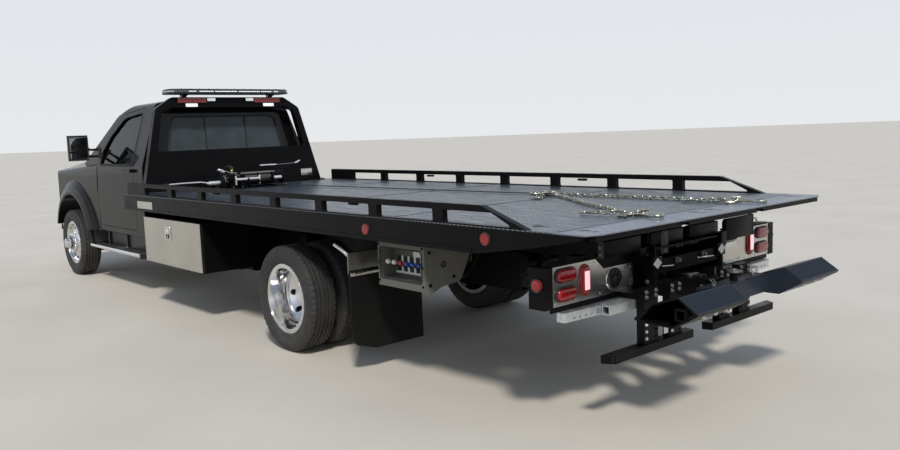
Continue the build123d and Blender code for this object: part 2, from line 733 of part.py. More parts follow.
def exhaust():
    """Pipe from the engine, silencer on the right rail and a turned-out tail pipe."""
    y = -RAIL_HALF - 126
    front = FilletPolyline((4700, -250, 560), (4350, -250, 490), (3700, -250, 490),
                           (2900, y, 490), (2600, y, 490), radius=220)
    rear = FilletPolyline((1560, y, 560), (1180, y, 560), (900, y - 300, 520), radius=180)
    pipe = None
    for path in (front, rear):
        plane = Plane(origin=path @ 0, z_dir=path % 0)
        length = sweep(plane * Circle(44), path=path)
        pipe = length if pipe is None else pipe + length
    pipe = pipe + rod((2680, y, 560), (1500, y, 560), 115)
    for x in (1700, 2500):
        pipe = pipe + block((x - 20, x + 20), (y - 40, -RAIL_HALF), (650, 690))
    return pipe


def running_boards():
    """Tubular steps on brackets, with the dark panel that closes the gap up to the sill."""
    profile = [(STEP_Y[0], STEP_Z - 43, 8), (STEP_Y[1], STEP_Z - 43, 20), (STEP_Y[1], STEP_Z, 12),
               (STEP_Y[0], STEP_Z, 8)]
    board = along_x(profile, *STEP_X)
    panel = block((STEP_X[0], STEP_X[1] - 160), (STEP_Y[0] - 24, STEP_Y[0] - 16), (STEP_Z - 30, SILL_Z))
    for x in (3300, 3850, 4400):
        board = board + along_y([(x - 25, STEP_Z - 40, 0), (x + 25, STEP_Z - 40, 0), (x + 25, SILL_Z, 0),
                                 (x - 25, SILL_Z, 0)], STEP_Y[0] - 20, STEP_Y[0] + 4)
    return both_sides(board + panel)


# Bed
def subframe():
    """Box rails on the frame with wear pads, pivot ears, cylinder lugs and members across."""
    y = (SUB_Y - RAIL_FLANGE / 2, SUB_Y + RAIL_FLANGE / 2)
    rail = block((SUB_REAR, SUB_FRONT), y, (SUB_BOTTOM, SUB_TOP))
    rail = rail - block((SUB_REAR - 1, SUB_FRONT + 1), (y[0] + 6, y[1] - 6), (SUB_BOTTOM + 6, SUB_TOP - 6))
    pad = block((SUB_REAR + 40, SUB_FRONT - 20), (y[0] + 6, y[1] - 6), (SUB_TOP, SUB_TOP + PAD_T))
    ear = along_y([(PIVOT_X - 60, SUB_BOTTOM, 0), (PIVOT_X - 45, PIVOT_Z - 20, 40),
                   (PIVOT_X + 45, PIVOT_Z - 20, 40), (PIVOT_X + 60, SUB_BOTTOM, 0)], 300, 345)
    ear = ear + disc_y(PIVOT_X, 300, 345, PIVOT_Z, 52)
    ear = ear + block((PIVOT_X + 40, PIVOT_X + 60), (300, y[0]), (SUB_BOTTOM - 1, SUB_BOTTOM + 80))
    ear = ear - disc_y(PIVOT_X, 290, 360, PIVOT_Z, PIVOT_R + 0.05)
    half = [rail, pad, ear]
    for ly in TILT_LUGS:
        eye_x, eye_z = TILT_EYE
        half.append(along_y([(eye_x - 45, eye_z - 35, 25), (eye_x + 45, eye_z - 35, 25),
                             (eye_x + 60, SUB_BOTTOM, 0), (eye_x - 60, SUB_BOTTOM, 0)], *ly))
    pieces = [both_sides(piece) for piece in half]
    for x in (PIVOT_X, -900, 0, 800, TILT_EYE[0], 2300, SUB_FRONT - 40):
        pieces.append(block((x - 38, x + 38), (-y[0], y[0]), (SUB_BOTTOM, SUB_TOP - 4)))
    return group(*pieces)


def slide_barrel():
    tube = rod((2420, 0, SLIDE_Z), (-760, 0, SLIDE_Z), SLIDE_R, SLIDE_R - 7)
    gland = rod((-740, 0, SLIDE_Z), (-785, 0, SLIDE_Z), SLIDE_R, SLIDE_ROD_R + 0.3)
    cap = rod((2400, 0, SLIDE_Z), (2440, 0, SLIDE_Z), SLIDE_R)
    feet = None
    for x in (0, 800, 2300):
        bore = rod((x - 31, 0, SLIDE_Z), (x + 31, 0, SLIDE_Z), SLIDE_R - 3)
        foot = block((x - 30, x + 30), (-45, 45), (SUB_TOP - 4, SLIDE_Z)) - bore
        feet = foot if feet is None else feet + foot
    return tube + gland + cap + feet


def slide_rod():
    bar = rod((2380, 0, SLIDE_Z), (-1075, 0, SLIDE_Z), SLIDE_ROD_R)
    lug = block((-1100, -1060), (-40, 40), (SLIDE_Z - 24, FLOOR_UNDER - CROSS_H))
    return bar + lug


def tail_profile(x_front, lower, tip):
    """Side outline of a deck member whose underside rises behind the knee."""
    return [(KNEE_X, lower, 60), (-2535, 988, 30), (tip, FLOOR_UNDER - 22, 0), (tip, FLOOR_UNDER, 0),
            (x_front, FLOOR_UNDER, 0), (x_front, lower, 0)]


def deck_frame():
    """Two runners over the subframe and channels on both sides of them, all under the deck plate."""
    y = (SUB_Y - SILL_W / 2, SUB_Y + SILL_W / 2)
    sill = along_y(tail_profile(DECK_FRONT - 4, SILL_BOTTOM, DECK_REAR + 12), *y)
    sill = sill - block((DECK_REAR, DECK_FRONT), (y[0] - 1, y[1] - 8), (SILL_BOTTOM + 10, FLOOR_UNDER - 12))
    pieces = [both_sides(sill)]
    spans = ((-y[0], y[0]), (y[1], DECK_HALF - BEAM_W), (BEAM_W - DECK_HALF, -y[1]))
    x = DECK_FRONT - 60
    while x > KNEE_X + 120:
        channel = [(x - 22, FLOOR_UNDER - CROSS_H), (x + 22, FLOOR_UNDER - CROSS_H),
                   (x + 22, FLOOR_UNDER - CROSS_H + 6), (x - 16, FLOOR_UNDER - CROSS_H + 6),
                   (x - 16, FLOOR_UNDER - 6), (x + 22, FLOOR_UNDER - 6), (x + 22, FLOOR_UNDER),
                   (x - 22, FLOOR_UNDER)]
        pieces.extend(along_y(channel, *span) for span in spans)
        x = x - CROSS_PITCH
    for x in (-2250, -2590, -2848):
        pieces.extend(block((x - 20, x + 20), span, (FLOOR_UNDER - 30, FLOOR_UNDER)) for span in spans)
    return group(*pieces)


def deck_floor():
    """Deck plate with square corners cut off at the tail and key slots for tie-down hooks."""
    plate = along_z([(DECK_FRONT, -DECK_HALF), (DECK_FRONT, DECK_HALF), (DECK_REAR + 35, DECK_HALF),
                     (DECK_REAR, DECK_HALF - 90), (DECK_REAR, 90 - DECK_HALF), (DECK_REAR + 35, -DECK_HALF)],
                    FLOOR_UNDER, DECK_TOP)
    for x, y in KEY_SLOTS:
        for side in (1, -1):
            slot = Pos(x, side * y, DECK_TOP) * (Cylinder(28, 60) + Pos(-45, 0, 0) * Box(90, 18, 60))
            plate = plate - slot
    return plate


def side_rails():
    """Channel beam along each edge of the deck with the low pierced rail on top."""
    y = (DECK_HALF - BEAM_W, DECK_HALF)
    beam = along_y(tail_profile(DECK_FRONT, DECK_TOP - BEAM_H, DECK_REAR + 60), *y)
    beam = beam - along_y(moved_in(tail_profile(DECK_FRONT + 50, DECK_TOP - BEAM_H, DECK_REAR + 200), 7),
                          y[0] - 10, y[1] - 7)
    lip_z = DECK_TOP - BEAM_H
    lip = block((KNEE_X + 40, DECK_FRONT), (DECK_HALF - 4, DECK_HALF + 6), (lip_z, lip_z + 22))
    top = DECK_TOP + RAIL_RISE
    rail = along_y([(SLOPE_END_X, DECK_TOP, 0), (SLOPE_TOP_X, top, 60), (RACK_X - 20, top, 15),
                    (RACK_X - 20, DECK_TOP, 0)], DECK_HALF - RAIL_WALL, DECK_HALF)
    post = POST_FIRST
    last = SLOPE_END_X + 120
    window = (DECK_TOP + 8, top - 36)
    rail = rail - along_y([(last - 20, window[0], 6), (post - POST_W / 2, window[0], 10),
                           (post - POST_W / 2, window[1], 10), (last + 130, window[1], 10)],
                          DECK_HALF - 100, DECK_HALF + 10)
    while post + POST_PITCH < RACK_X:
        start = post + POST_W / 2
        end = post + POST_PITCH - POST_W / 2
        rail = rail - along_y([(start, window[0], 10), (end, window[0], 10), (end, window[1], 10),
                               (start, window[1], 10)], DECK_HALF - 100, DECK_HALF + 10)
        post = post + POST_PITCH
    return both_sides(beam + lip + rail)


def rack_lean(shape):
    """Leans an upright shape forwards about the foot of the rack."""
    return Pos(RACK_X, 0, DECK_TOP) * Rot(0, RACK_LEAN, 0) * shape


def headache_rack():
    frame_line = mirrored_section([(RACK_HALF, SEAT_GAP, 0), (830, 840, 60), (650, RACK_H, 60)])
    ring = along_x(frame_line, 0, RACK_TUBE)
    inner_line = mirrored_section([(RACK_HALF - 182, RACK_PANEL_H, 20), (765, 815, 40),
                                   (640, RACK_H - 105, 30)])
    lower_line = mirrored_section([(RACK_HALF - 78, 60, 0), (RACK_HALF - 165, RACK_PANEL_H - 60, 0)])
    ring = ring - along_x(inner_line, -10, RACK_TUBE + 10)
    ring = ring - along_x(lower_line, 10, RACK_TUBE + 10)
    rack = rack_lean(ring)
    return rack - block((RACK_X - 200, RACK_X + 300), (-1100, 1100), (DECK_TOP - 100, DECK_TOP))


def light_bar():
    body = along_y([(-BAR_DEPTH / 2, 0, 10), (BAR_DEPTH / 2, 0, 10), (BAR_DEPTH / 2 - 20, BAR_H, 18),
                    (20 - BAR_DEPTH / 2, BAR_H, 18)], -BAR_HALF, BAR_HALF)
    feet = None
    for y in (-500, 500):
        foot = block((-30, 30), (y - 25, y + 25), (-50, 0))
        feet = foot if feet is None else feet + foot
    bar = Pos(BAR_CENTRE, 0, LIGHT_BAR_Z) * (body + feet)
    return bar - rack_lean(block((-50, RACK_TUBE + 50), (-1000, 1000), (700, RACK_H + SEAT_GAP)))


def rack_lamps():
    """Lamps let into the rear face of the rack's top beam."""
    lamps = []
    for y, width, z, height in ((435, 310, RACK_H - 32, 50), (222, 92, RACK_H - 26, 32),
                                (446, 130, RACK_H - 84, 34)):
        lamp = along_x([(y - width / 2, z - height / 2, 8), (y + width / 2, z - height / 2, 8),
                        (y + width / 2, z + height / 2, 8), (y - width / 2, z + height / 2, 8)], -14, 0)
        lamps.append(rack_lean(lamp))
    return both_sides(group(*lamps))


def winch_frame():
    base = block((2330, 2640), (-330, 330), (DECK_TOP, DECK_TOP + 10))
    cheeks = None
    for y in (-170, 158):
        cheek = along_y([(2380, DECK_TOP + 10, 0), (2620, DECK_TOP + 10, 0), (2590, DRUM_Z + 70, 50),
                         (2430, DRUM_Z + 70, 50)], y, y + 12)
        cheeks = cheek if cheeks is None else cheeks + cheek
    motor = disc_y(DRUM_X, 170, 330, DRUM_Z, 55) + disc_y(DRUM_X, 330, 345, DRUM_Z, 40)
    gearbox = disc_y(DRUM_X, -310, -170, DRUM_Z, 68)
    foot = block((DRUM_X - 40, DRUM_X + 40), (200, 300), (DECK_TOP + 10, DRUM_Z - 30))
    foot = foot + block((DRUM_X - 40, DRUM_X + 40), (-300, -200), (DECK_TOP + 10, DRUM_Z - 40))
    return base + cheeks + motor + gearbox + foot


def winch_roller():
    """Cable tensioner: a chrome roller between round ends on two arms from the cheeks."""
    roller = disc_y(2400, -144, 144, ROLLER_Z, 17)
    for y in (-144, 132):
        roller = roller + disc_y(2400, y, y + 12, ROLLER_Z, 42)
    return roller + disc_y(2400, -157.7, 157.7, ROLLER_Z, 12)


def winch_levers():
    """Free-spool lever and the long tensioner lever."""
    long_lever = rod((2487, 345, DRUM_Z + 17), (2560, 700, DRUM_Z + 10), 9)
    short_lever = rod((2470, -171, DRUM_Z + 40), (2600, -520, DRUM_Z + 130), 9)
    knob = Pos(2600, -520, DRUM_Z + 130) * Sphere(18)
    return group(long_lever - winch_frame(), short_lever + knob - winch_frame())


def winch_drum():
    profile = [(0, -157.5), (20, -157.5), (20, -150), (72, -150), (72, -142), (WOUND_R, -140), (WOUND_R, 140),
               (72, 142), (72, 150), (20, 150), (20, 157.5), (0, 157.5)]
    return spun(profile, 0, DRUM_X, DRUM_Z)


def cable_route():
    """From below the drum down to the deck and back to the hook."""
    lying = DECK_TOP + CABLE_R + SEAT_GAP
    return [(DRUM_X - 4, -100, DRUM_Z - WOUND_R - CABLE_R - SEAT_GAP), (1500, -310, lying),
            (HOOK_X + 72, HOOK_Y, DECK_TOP + SLEEVE_R + SEAT_GAP)]


def cable_path():
    points = [Vector(*point) for point in cable_route()]
    run_in = points[1] - points[0]
    run_out = points[2] - points[1]
    half_turn = radians(run_in.get_angle(run_out)) / 2
    bend = 0.45 * min(run_in.length, run_out.length) / tan(half_turn)
    return FilletPolyline(*points, radius=bend)


def winch_cable():
    """Taut cable from the drum down to the deck and back to its hook."""
    path = cable_path()
    return sweep(Plane(origin=path @ 0, z_dir=path % 0) * Circle(CABLE_R), path=path)


def tow_hook():
    """Sleeve pressed on the cable's end and the round hook that holds the ring of the bridle."""
    path = cable_path()
    sleeve = extrude(Plane(origin=path @ 1, z_dir=path % 1) * Circle(SLEEVE_R), amount=38)
    return sleeve + Pos(HOOK_X, HOOK_Y, DECK_TOP + 14.3) * Torus(42, 14)


def bridle_chains():
    """Ring and two chain legs of the bridle as plain bars, each with its cluster of hooks."""
    ring_x = HOOK_X - 56 - SEAT_GAP - 49
    bridle = Pos(ring_x, HOOK_Y, DECK_TOP + 14.3) * Torus(40, 9)
    for foot in CHAIN_FEET:
        start = (ring_x - 30, HOOK_Y + (30 if foot[1] > HOOK_Y else -30), DECK_TOP + 12.3)
        end = (foot[0], foot[1], DECK_TOP + 12.3)
        bridle = bridle + rod(start, end, 12)
        bridle = bridle + Pos(foot[0] - 35, foot[1], DECK_TOP + 15.3) * Box(90, 60, 30)
    return bridle


def deck_markers():
    lamps = []
    for x, z in ((-1124, 990), (-2189, 1008)):
        lamps.append(disc_y(x, DECK_HALF, DECK_HALF + 10, z, 32))
    return both_sides(group(*lamps))


# Tail
def tail_frame():
    """Cross beam behind the lamps, its end boxes and the receivers of the underride posts."""
    beam = block((TAIL_X + 22, TAIL_X + 105), (HOUSING_HALF, 1165), (700, 800))
    end_box = block((TAIL_X - 2, TAIL_X + 105), (PANEL_OUT + 5, 1168), (665, 880))
    riser = block((TAIL_X + 22, TAIL_X + 105), (800, 870), (800, 902))
    edge = TAIL_TOP + 10
    backing = along_x([(PANEL_OUT + 5, edge, 0), (PANEL_OUT + 5, 640, 0), (HOUSING_HALF, 640, 0),
                       (HOUSING_HALF, edge, 0), (PANEL_IN - 40, edge, 0)], TAIL_X + 10, TAIL_X + 22)
    outer_post, inner_post = POSTS_Y
    receiver = block((BAR_X + 30, TAIL_X + 40), outer_post, (640, TAIL_BOTTOM - 1))
    hang = block((-2560, -2450), (HOUSING_HALF, HOUSING_HALF + 24), (640, 700))
    inner = block((BAR_X + 30, -2450), (inner_post[0], HOUSING_HALF - 24), (640, 700))
    return both_sides(group(beam + end_box + riser + receiver + backing + hang, inner))


def tail_panels():
    """Stainless lamp panels with their oval and round cut-outs."""
    corners = [(PANEL_IN, TAIL_BOTTOM, 0), (PANEL_OUT, TAIL_BOTTOM, 0), (PANEL_OUT, TAIL_TOP, 0),
               (760, TAIL_TOP, 0), (690, TAIL_TOP - 60, 0), (PANEL_IN, TAIL_TOP - 60, 0)]
    plate = along_x(corners, TAIL_X, TAIL_X + PANEL_T)
    back = along_x(moved_in(corners, 2), TAIL_X + PANEL_T, TAIL_X + 10)
    panel = plate + back
    for y, z, width, height in LAMPS:
        radius = min(width, height) / 2 - 1
        hole = along_x([(y - width / 2, z - height / 2, radius), (y + width / 2, z - height / 2, radius),
                        (y + width / 2, z + height / 2, radius), (y - width / 2, z + height / 2, radius)],
                       TAIL_X - 5, TAIL_X + 9)
        panel = panel - hole
    return both_sides(panel)


def tail_lamps():
    lamps = []
    for y, z, width, height in LAMPS:
        w = width - 2 * SEAT_GAP
        h = height - 2 * SEAT_GAP
        radius = min(w, h) / 2 - 1
        lamps.append(along_x([(y - w / 2, z - h / 2, radius), (y + w / 2, z - h / 2, radius),
                              (y + w / 2, z + h / 2, radius), (y - w / 2, z + h / 2, radius)],
                             TAIL_X - 14, TAIL_X + 8.7))
    lamps.append(disc_y(TAIL_X + 40, 1168, 1182, 792, 32))
    return both_sides(group(*lamps))


def underride_bars():
    """Two bars across the tail, each on a pair of pierced posts."""
    y = (90, 872)
    bar = along_z([(BAR_X - 32, y[0] + 12, 0), (BAR_X + 32, y[0], 0), (BAR_X + 32, y[1], 0),
                   (BAR_X - 32, y[1] - 40, 0)], BAR_Z, BAR_Z + 45)
    piece = bar
    for y0, y1 in POSTS_Y:
        post = block((BAR_X - 18, BAR_X + 30), (y0, y1), (BAR_Z + 45, 700))
        for i in range(5):
            post = post - rod((BAR_X - 60, y0 + 22, 430 + 38 * i), (BAR_X + 60, y0 + 22, 430 + 38 * i), 9)
        piece = piece + post
    return both_sides(piece)


def lift_housing():
    """Side plates between the subframe rails that carry the boom pivot."""
    plate = along_y([(-1950, 902, 0), (-1950, 540, 60), (-2150, 500, 60), (-2480, 560, 60), (-2650, 640, 30),
                     (-2650, 902, 10)], HOUSING_HALF - 24, HOUSING_HALF)
    frame = plate + mirror(plate, about=Plane.XZ)
    inner = HOUSING_HALF - 24
    frame = frame + block((-2640, -2622), (-inner, inner), (742, 820))
    frame = frame + block((-2640, -2100), (-inner, inner), (880, 892))
    frame = frame + disc_y(BOOM_PIVOT_X, -inner, inner, BOOM_Z, 30)
    return frame


def boom_outer():
    half = BOOM_SIZE / 2
    tube = block((BOOM_END, BOOM_PIVOT_X + 10), (-half, half), (BOOM_Z - half, BOOM_Z + half))
    bore = BOOM_SIZE / 2 - BOOM_WALL
    tube = tube - block((BOOM_END - 1, BOOM_PIVOT_X - 90), (-bore, bore), (BOOM_Z - bore, BOOM_Z + bore))
    boss = disc_y(BOOM_PIVOT_X, -150, 150, BOOM_Z, 55)
    tube = tube + boss - disc_y(BOOM_PIVOT_X, -160, 160, BOOM_Z, 30.05)
    return tube


def boom_inner():
    half = INNER_SIZE / 2
    tube = block((CROSSBAR_X + 110, BOOM_PIVOT_X - 100), (-half, half), (BOOM_Z - half, BOOM_Z + half))
    wear = BOOM_SIZE / 2 - BOOM_WALL - SEAT_GAP
    shoe = block((BOOM_PIVOT_X - 170, BOOM_PIVOT_X - 110), (-wear, wear), (BOOM_Z - wear, BOOM_Z + wear))
    tube = tube + shoe
    head = block((CROSSBAR_X - 55, CROSSBAR_X + 112), (-60, 60), (BOOM_Z - half, BOOM_Z - half + 22))
    neck = block((CROSSBAR_X + 90, CROSSBAR_X + 130), (-60, 60), (BOOM_Z - half, BOOM_Z + half + 20))
    pin = rod((CROSSBAR_X, 0, BOOM_Z - half + 20), (CROSSBAR_X, 0, BOOM_Z + half + 66), 22)
    return tube + head + neck + pin


def crossbar():
    """Swivelling crossbar with a wheel pad at each end: a wedge with the retainer's tube below it."""
    z0 = BOOM_Z - INNER_SIZE / 2 + 22.5
    half = CROSSBAR_SIZE / 2
    x = (CROSSBAR_X - half, CROSSBAR_X + half)
    bar = block(x, (-PAD_IN, PAD_IN), (z0, z0 + CROSSBAR_SIZE))
    outer_line = [(REAR_END, z0 + 76, 0), (REAR_END + 8, z0 + 62, 0), (x[0] - 64, z0 - 12, 20),
                  (x[1] + 4, z0 - 12, 0), (x[1] + 66, z0 - 2, 0), (x[1] + 66, z0 + 8, 0),
                  (x[1] - 40, z0 + 96, 20), (REAR_END + 106, z0 + 147, 8)]
    wedge = along_y(outer_line, PAD_IN, PAD_OUT)
    inner_line = [(REAR_END + 30, z0 + 75, 0), (x[0] - 62, z0 - 3, 12), (x[1] + 2, z0 - 3, 0),
                  (x[1] + 34, z0 + 3, 0), (x[1] - 44, z0 + 87, 12), (REAR_END + 108, z0 + 137, 6)]
    hollow = along_y(inner_line, PAD_IN + 9, PAD_OUT + 10)
    tube = block(SOCKET_X, (PAD_IN + 9, PAD_OUT + 14), SOCKET_Z)
    bore = block((SOCKET_X[0] + 7, SOCKET_X[1] - 7), (PAD_OUT - 200, PAD_OUT + 30),
                 (SOCKET_Z[0] + 7, SOCKET_Z[1] - 7))
    pads = wedge - hollow + tube - bore
    bar = bar + pads + mirror(pads, about=Plane.XZ)
    return bar - rod((CROSSBAR_X, 0, z0 - 1), (CROSSBAR_X, 0, z0 + CROSSBAR_SIZE + 1), 22.05)


def l_arms():
    """Galvanised wheel retainers stowed under the lamp panels."""
    z = (590, 640 - SEAT_GAP)
    tube = block((BAR_X + 40, BAR_X + 90), (385, 780), z)
    tube = tube - block((BAR_X + 46, BAR_X + 84), (600, 790), (z[0] + 6, z[1] - 6))
    arm = along_z([(BAR_X + 90, 385, 0), (BAR_X + 190, 385, 20), (BAR_X + 190, 900, 40),
                   (BAR_X + 170, 1060, 20), (BAR_X + 110, 1060, 20), (BAR_X + 90, 700, 0)], *z)
    arm = arm - along_z([(BAR_X + 100, 400, 0), (BAR_X + 180, 400, 10), (BAR_X + 180, 880, 20),
                         (BAR_X + 160, 1050, 10), (BAR_X + 120, 1050, 10), (BAR_X + 100, 700, 0)],
                        z[0] - 10, z[1] - 6)
    for i in range(6):
        arm = arm - rod((BAR_X + 60, 760 + 45 * i, 606), (BAR_X + 240, 760 + 45 * i, 606), 8)
    return both_sides(tube + arm)


# Cylinders
def linkage(base, eye, lugs, barrel_r, closed):
    """One hydraulic cylinder at y between its lugs: barrel from the base and rod to the eye."""
    y = (lugs[0][1] + lugs[1][0]) / 2
    dx = eye[0] - base[0]
    dz = eye[1] - base[1]
    length = hypot(dx, dz)
    ux = dx / length
    uz = dz / length

    def point(distance):
        return (base[0] + ux * distance, y, base[1] + uz * distance)
    width = lugs[1][0] - lugs[0][1] - 10
    barrel = rod(point(barrel_r * 0.8), point(length * closed), barrel_r, barrel_r - 6)
    barrel = barrel + rod(point(barrel_r * 0.8), point(barrel_r * 0.8 + 20), barrel_r)
    barrel = barrel + disc_y(base[0], y - width / 2, y + width / 2, base[1], barrel_r * 0.95)
    gland = rod(point(length * closed - 25), point(length * closed), barrel_r - 5, barrel_r * 0.5 + 0.3)
    piston_rod = rod(point(barrel_r * 0.8 + 40), point(length), barrel_r * 0.5)
    eye_ring = disc_y(eye[0], y - width / 2, y + width / 2, eye[1], barrel_r * 0.75)
    pin = disc_y(eye[0], lugs[0][1] + SEAT_GAP, lugs[1][0] - SEAT_GAP, eye[1], barrel_r * 0.4)
    return barrel + gland, piston_rod + eye_ring + pin


def tilt_cylinders():
    barrel, _ = linkage(TILT_BASE, TILT_EYE, TILT_LUGS, 42, 0.72)
    barrel = barrel - disc_y(TILT_BASE[0], -500, 500, TILT_BASE[1], TILT_PIN_R + 0.05)
    return both_sides(barrel)


def tilt_rods():
    _, piston_rod = linkage(TILT_BASE, TILT_EYE, TILT_LUGS, 42, 0.72)
    return both_sides(piston_rod)


# Side equipment
def toolboxes():
    """Boxes open to the side, hung from the rails, each with its hinge below the lid."""
    outer = block(BOX_X, (BOX_Y[0], BOX_Y[1] - LID_T - DOOR_GAP), BOX_Z)
    inner = block((BOX_X[0] + BOX_WALL, BOX_X[1] - BOX_WALL), (BOX_Y[0] + BOX_WALL, 1300),
                  (BOX_Z[0] + BOX_WALL, BOX_Z[1] - BOX_WALL))
    box = outer - inner
    for x in (BOX_X[0] + 150, BOX_X[1] - 150):
        box = box + block((x - 25, x + 25), (RAIL_HALF, BOX_Y[0]), (FRAME_TOP - 40, FRAME_TOP - 6))
    strip = block((BOX_X[0] + 20, BOX_X[1] - 20), (BOX_Y[1] - LID_T - DOOR_GAP - 40, BOX_Y[1]),
                  (BOX_Z[0] - 4, BOX_Z[0]))
    barrel = rod((BOX_X[0] + 20, BOX_Y[1], BOX_Z[0]), (BOX_X[1] - 20, BOX_Y[1], BOX_Z[0]), HINGE_R)
    return both_sides(box + strip + barrel)


def toolbox_lid(side):
    lid = block((BOX_X[0] + 2, BOX_X[1] - 2), (BOX_Y[1] - LID_T, BOX_Y[1]),
                (BOX_Z[0] + SEAT_GAP, BOX_Z[1] - 2))
    lid = lid - block((BOX_X[0] + 6, BOX_X[1] - 6), (BOX_Y[1] - LID_T - 1, BOX_Y[1] - 4),
                      (BOX_Z[0] + 12, BOX_Z[1] - 6))
    lid = lid - rod((BOX_X[0], BOX_Y[1], BOX_Z[0]), (BOX_X[1], BOX_Y[1], BOX_Z[0]), HINGE_R + SEAT_GAP)
    latch = block((1900, 2024), (BOX_Y[1] - LID_T + 2, BOX_Y[1] + 5), (685, 812))
    return side_of(lid + latch, side)


def mud_flaps():
    """Flaps with the lower outer corner cut away."""
    flap = along_x([(FLAP_Y[0], FLAP_Z[0], 10), (FLAP_Y[1] - 190, FLAP_Z[0], 60),
                    (FLAP_Y[1], FLAP_Z[0] + 50, 40), (FLAP_Y[1], FLAP_Z[1], 0),
                    (FLAP_Y[0], FLAP_Z[1], 0)], FLAP_X - 6, FLAP_X + 6)
    return both_sides(flap)


def flap_brackets():
    """Stainless flap hangers with their arms from the frame rails."""
    plate = block((FLAP_X + 6, FLAP_X + 12), FLAP_Y, (FLAP_Z[1] - 20, FLAP_Z[1] + 115))
    arm = rod((FLAP_X + 31, RAIL_HALF, 740), (FLAP_X + 31, FLAP_Y[1] - 30, 740), 19)
    return both_sides(plate + arm)


def control_stations():
    """Control boxes behind the rear wheels with an open front, a gusset plate and an arm each."""
    x = CTRL_X
    y = CTRL_Y
    body = along_x([(y[0], CTRL_Z[1], 0), (y[0], CTRL_Z[0] + 60, 0), (y[1], CTRL_Z[0], 0),
                    (y[1], CTRL_Z[1], 0)], x[0], x[1])
    cavity = block((x[0] + 20, x[1] - 20), (y[1] - 120, y[1] + 10), (CTRL_Z[0] + 50, CTRL_Z[1] - 30))
    gusset = along_x([(736, CTRL_Z[1], 0), (736, 800, 20), (815, 655, 40), (965, 640, 30), (y[1], 590, 20),
                      (y[1], CTRL_Z[1], 0)], x[0] - 8, x[0])
    gusset = gusset - rod((x[0] - 20, 950, 775), (x[0], 950, 775), 14)
    arm = block((-1250, -1150), (RAIL_HALF, y[0]), (700, 760))
    return both_sides(body - cavity + gusset + arm)


def control_levers():
    """A row of levers in each control box."""
    levers = []
    wall = CTRL_Y[1] - 120
    for i in range(6):
        x = CTRL_X[0] + 70 + i * 62
        bar = rod((x, wall - 10, 742), (x, CTRL_Y[1] - 26, 775), 7) + Pos(x, CTRL_Y[1] - 26, 775) * Sphere(15)
        levers.append(bar - block((x - 20, x + 20), (wall - 40, wall), (700, 800)))
    return both_sides(group(*levers))


def sided(maker):
    return {name: maker(sign) for name, sign in SIDES.items()}


def front_wheels(maker):
    left = Pos(WHEELBASE, 0, 0) * maker(FRONT_WHEEL_Y)
    return {"left": left, "right": mirror(left, about=Plane.XZ)}


def rear_pair(outer, inner):
    """Outer wheel and inner wheel of a dual, the inner one turned to face inwards."""
    inner = Pos(0, REAR_DUAL_Y - DUAL_SPACING / 2, 0) * mirror(inner, about=Plane.XZ)
    left = group(outer, inner)
    return {"left": left, "right": mirror(left, about=Plane.XZ)}


def save(name, shape):
    export_step(Pos(-X_MID, 0, 0) * shape, f"parts/{name}.step")


def main():
    os.makedirs("parts", exist_ok=True)
    single = {
        "chassis_frame": (chassis_frame,), "rear_suspension": (rear_suspension,),
        "front_suspension": (front_suspension,), "drivetrain": (engine_block, drive_shaft, radiator),
        "fuel_tank": (fuel_tank,), "exhaust": (exhaust,),
        "cab_shell": (cab_shell,), "cab_glass": (windscreen, rear_window),
        "dashboard": (dashboard, steering_wheel), "seats": (seats,),
        "front_fenders": (front_fenders, fender_flares), "hood": (hood,), "grille": (grille,),
        "headlamps": (headlamps,), "front_bumper": (front_bumper,), "running_boards": (running_boards,),
        "toolboxes": (toolboxes,), "mud_flaps": (mud_flaps,), "flap_brackets": (flap_brackets,),
        "control_stations": (control_stations, control_levers),
        "subframe": (subframe, slide_barrel), "tail_frame": (tail_frame, lift_housing),
        "tail_panels": (tail_panels,), "tail_lamps": (tail_lamps,), "underride_bars": (underride_bars,),
        "l_arms": (l_arms,), "boom_outer": (boom_outer,), "boom_inner": (boom_inner,),
        "crossbar": (crossbar,), "tilt_cylinders": (tilt_cylinders,), "tilt_rods": (tilt_rods,),
        "deck_frame": (deck_frame, slide_rod), "deck_floor": (deck_floor,), "side_rails": (side_rails,),
        "headache_rack": (headache_rack,), "light_bar": (light_bar,),
        "deck_lamps": (rack_lamps, deck_markers),
        "winch": (winch_frame, winch_roller, winch_levers), "winch_drum": (winch_drum,),
        "winch_cable": (winch_cable,), "tow_hook": (tow_hook,), "bridle_chains": (bridle_chains,),
    }
    for name, makers in single.items():
        save(name, group(*[maker() for maker in makers]))
    knuckle_left = knuckle()
    pairs = {
        "knuckle": {"left": knuckle_left, "right": mirror(knuckle_left, about=Plane.XZ)},
        "front_tyre": front_wheels(tyre),
        "front_rim": front_wheels(front_rim),
        "rear_tyres": rear_pair(tyre(REAR_DUAL_Y + DUAL_SPACING / 2), tyre(0)),
        "rear_rims": rear_pair(rear_outer_rim(REAR_DUAL_Y + DUAL_SPACING / 2), rear_inner_rim()),
        "door": sided(door),
        "door_glass": sided(door_glass),
        "toolbox_lid": sided(toolbox_lid),
    }
    for name, shapes in pairs.items():
        for side, shape in shapes.items():
            save(f"{name}_{side}", shape)


main()
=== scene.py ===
import json
from math import atan2, cos, exp, pi, radians, sin, tan

import bmesh
import bpy
from mathutils import Matrix, Vector
from mathutils.bvhtree import BVHTree

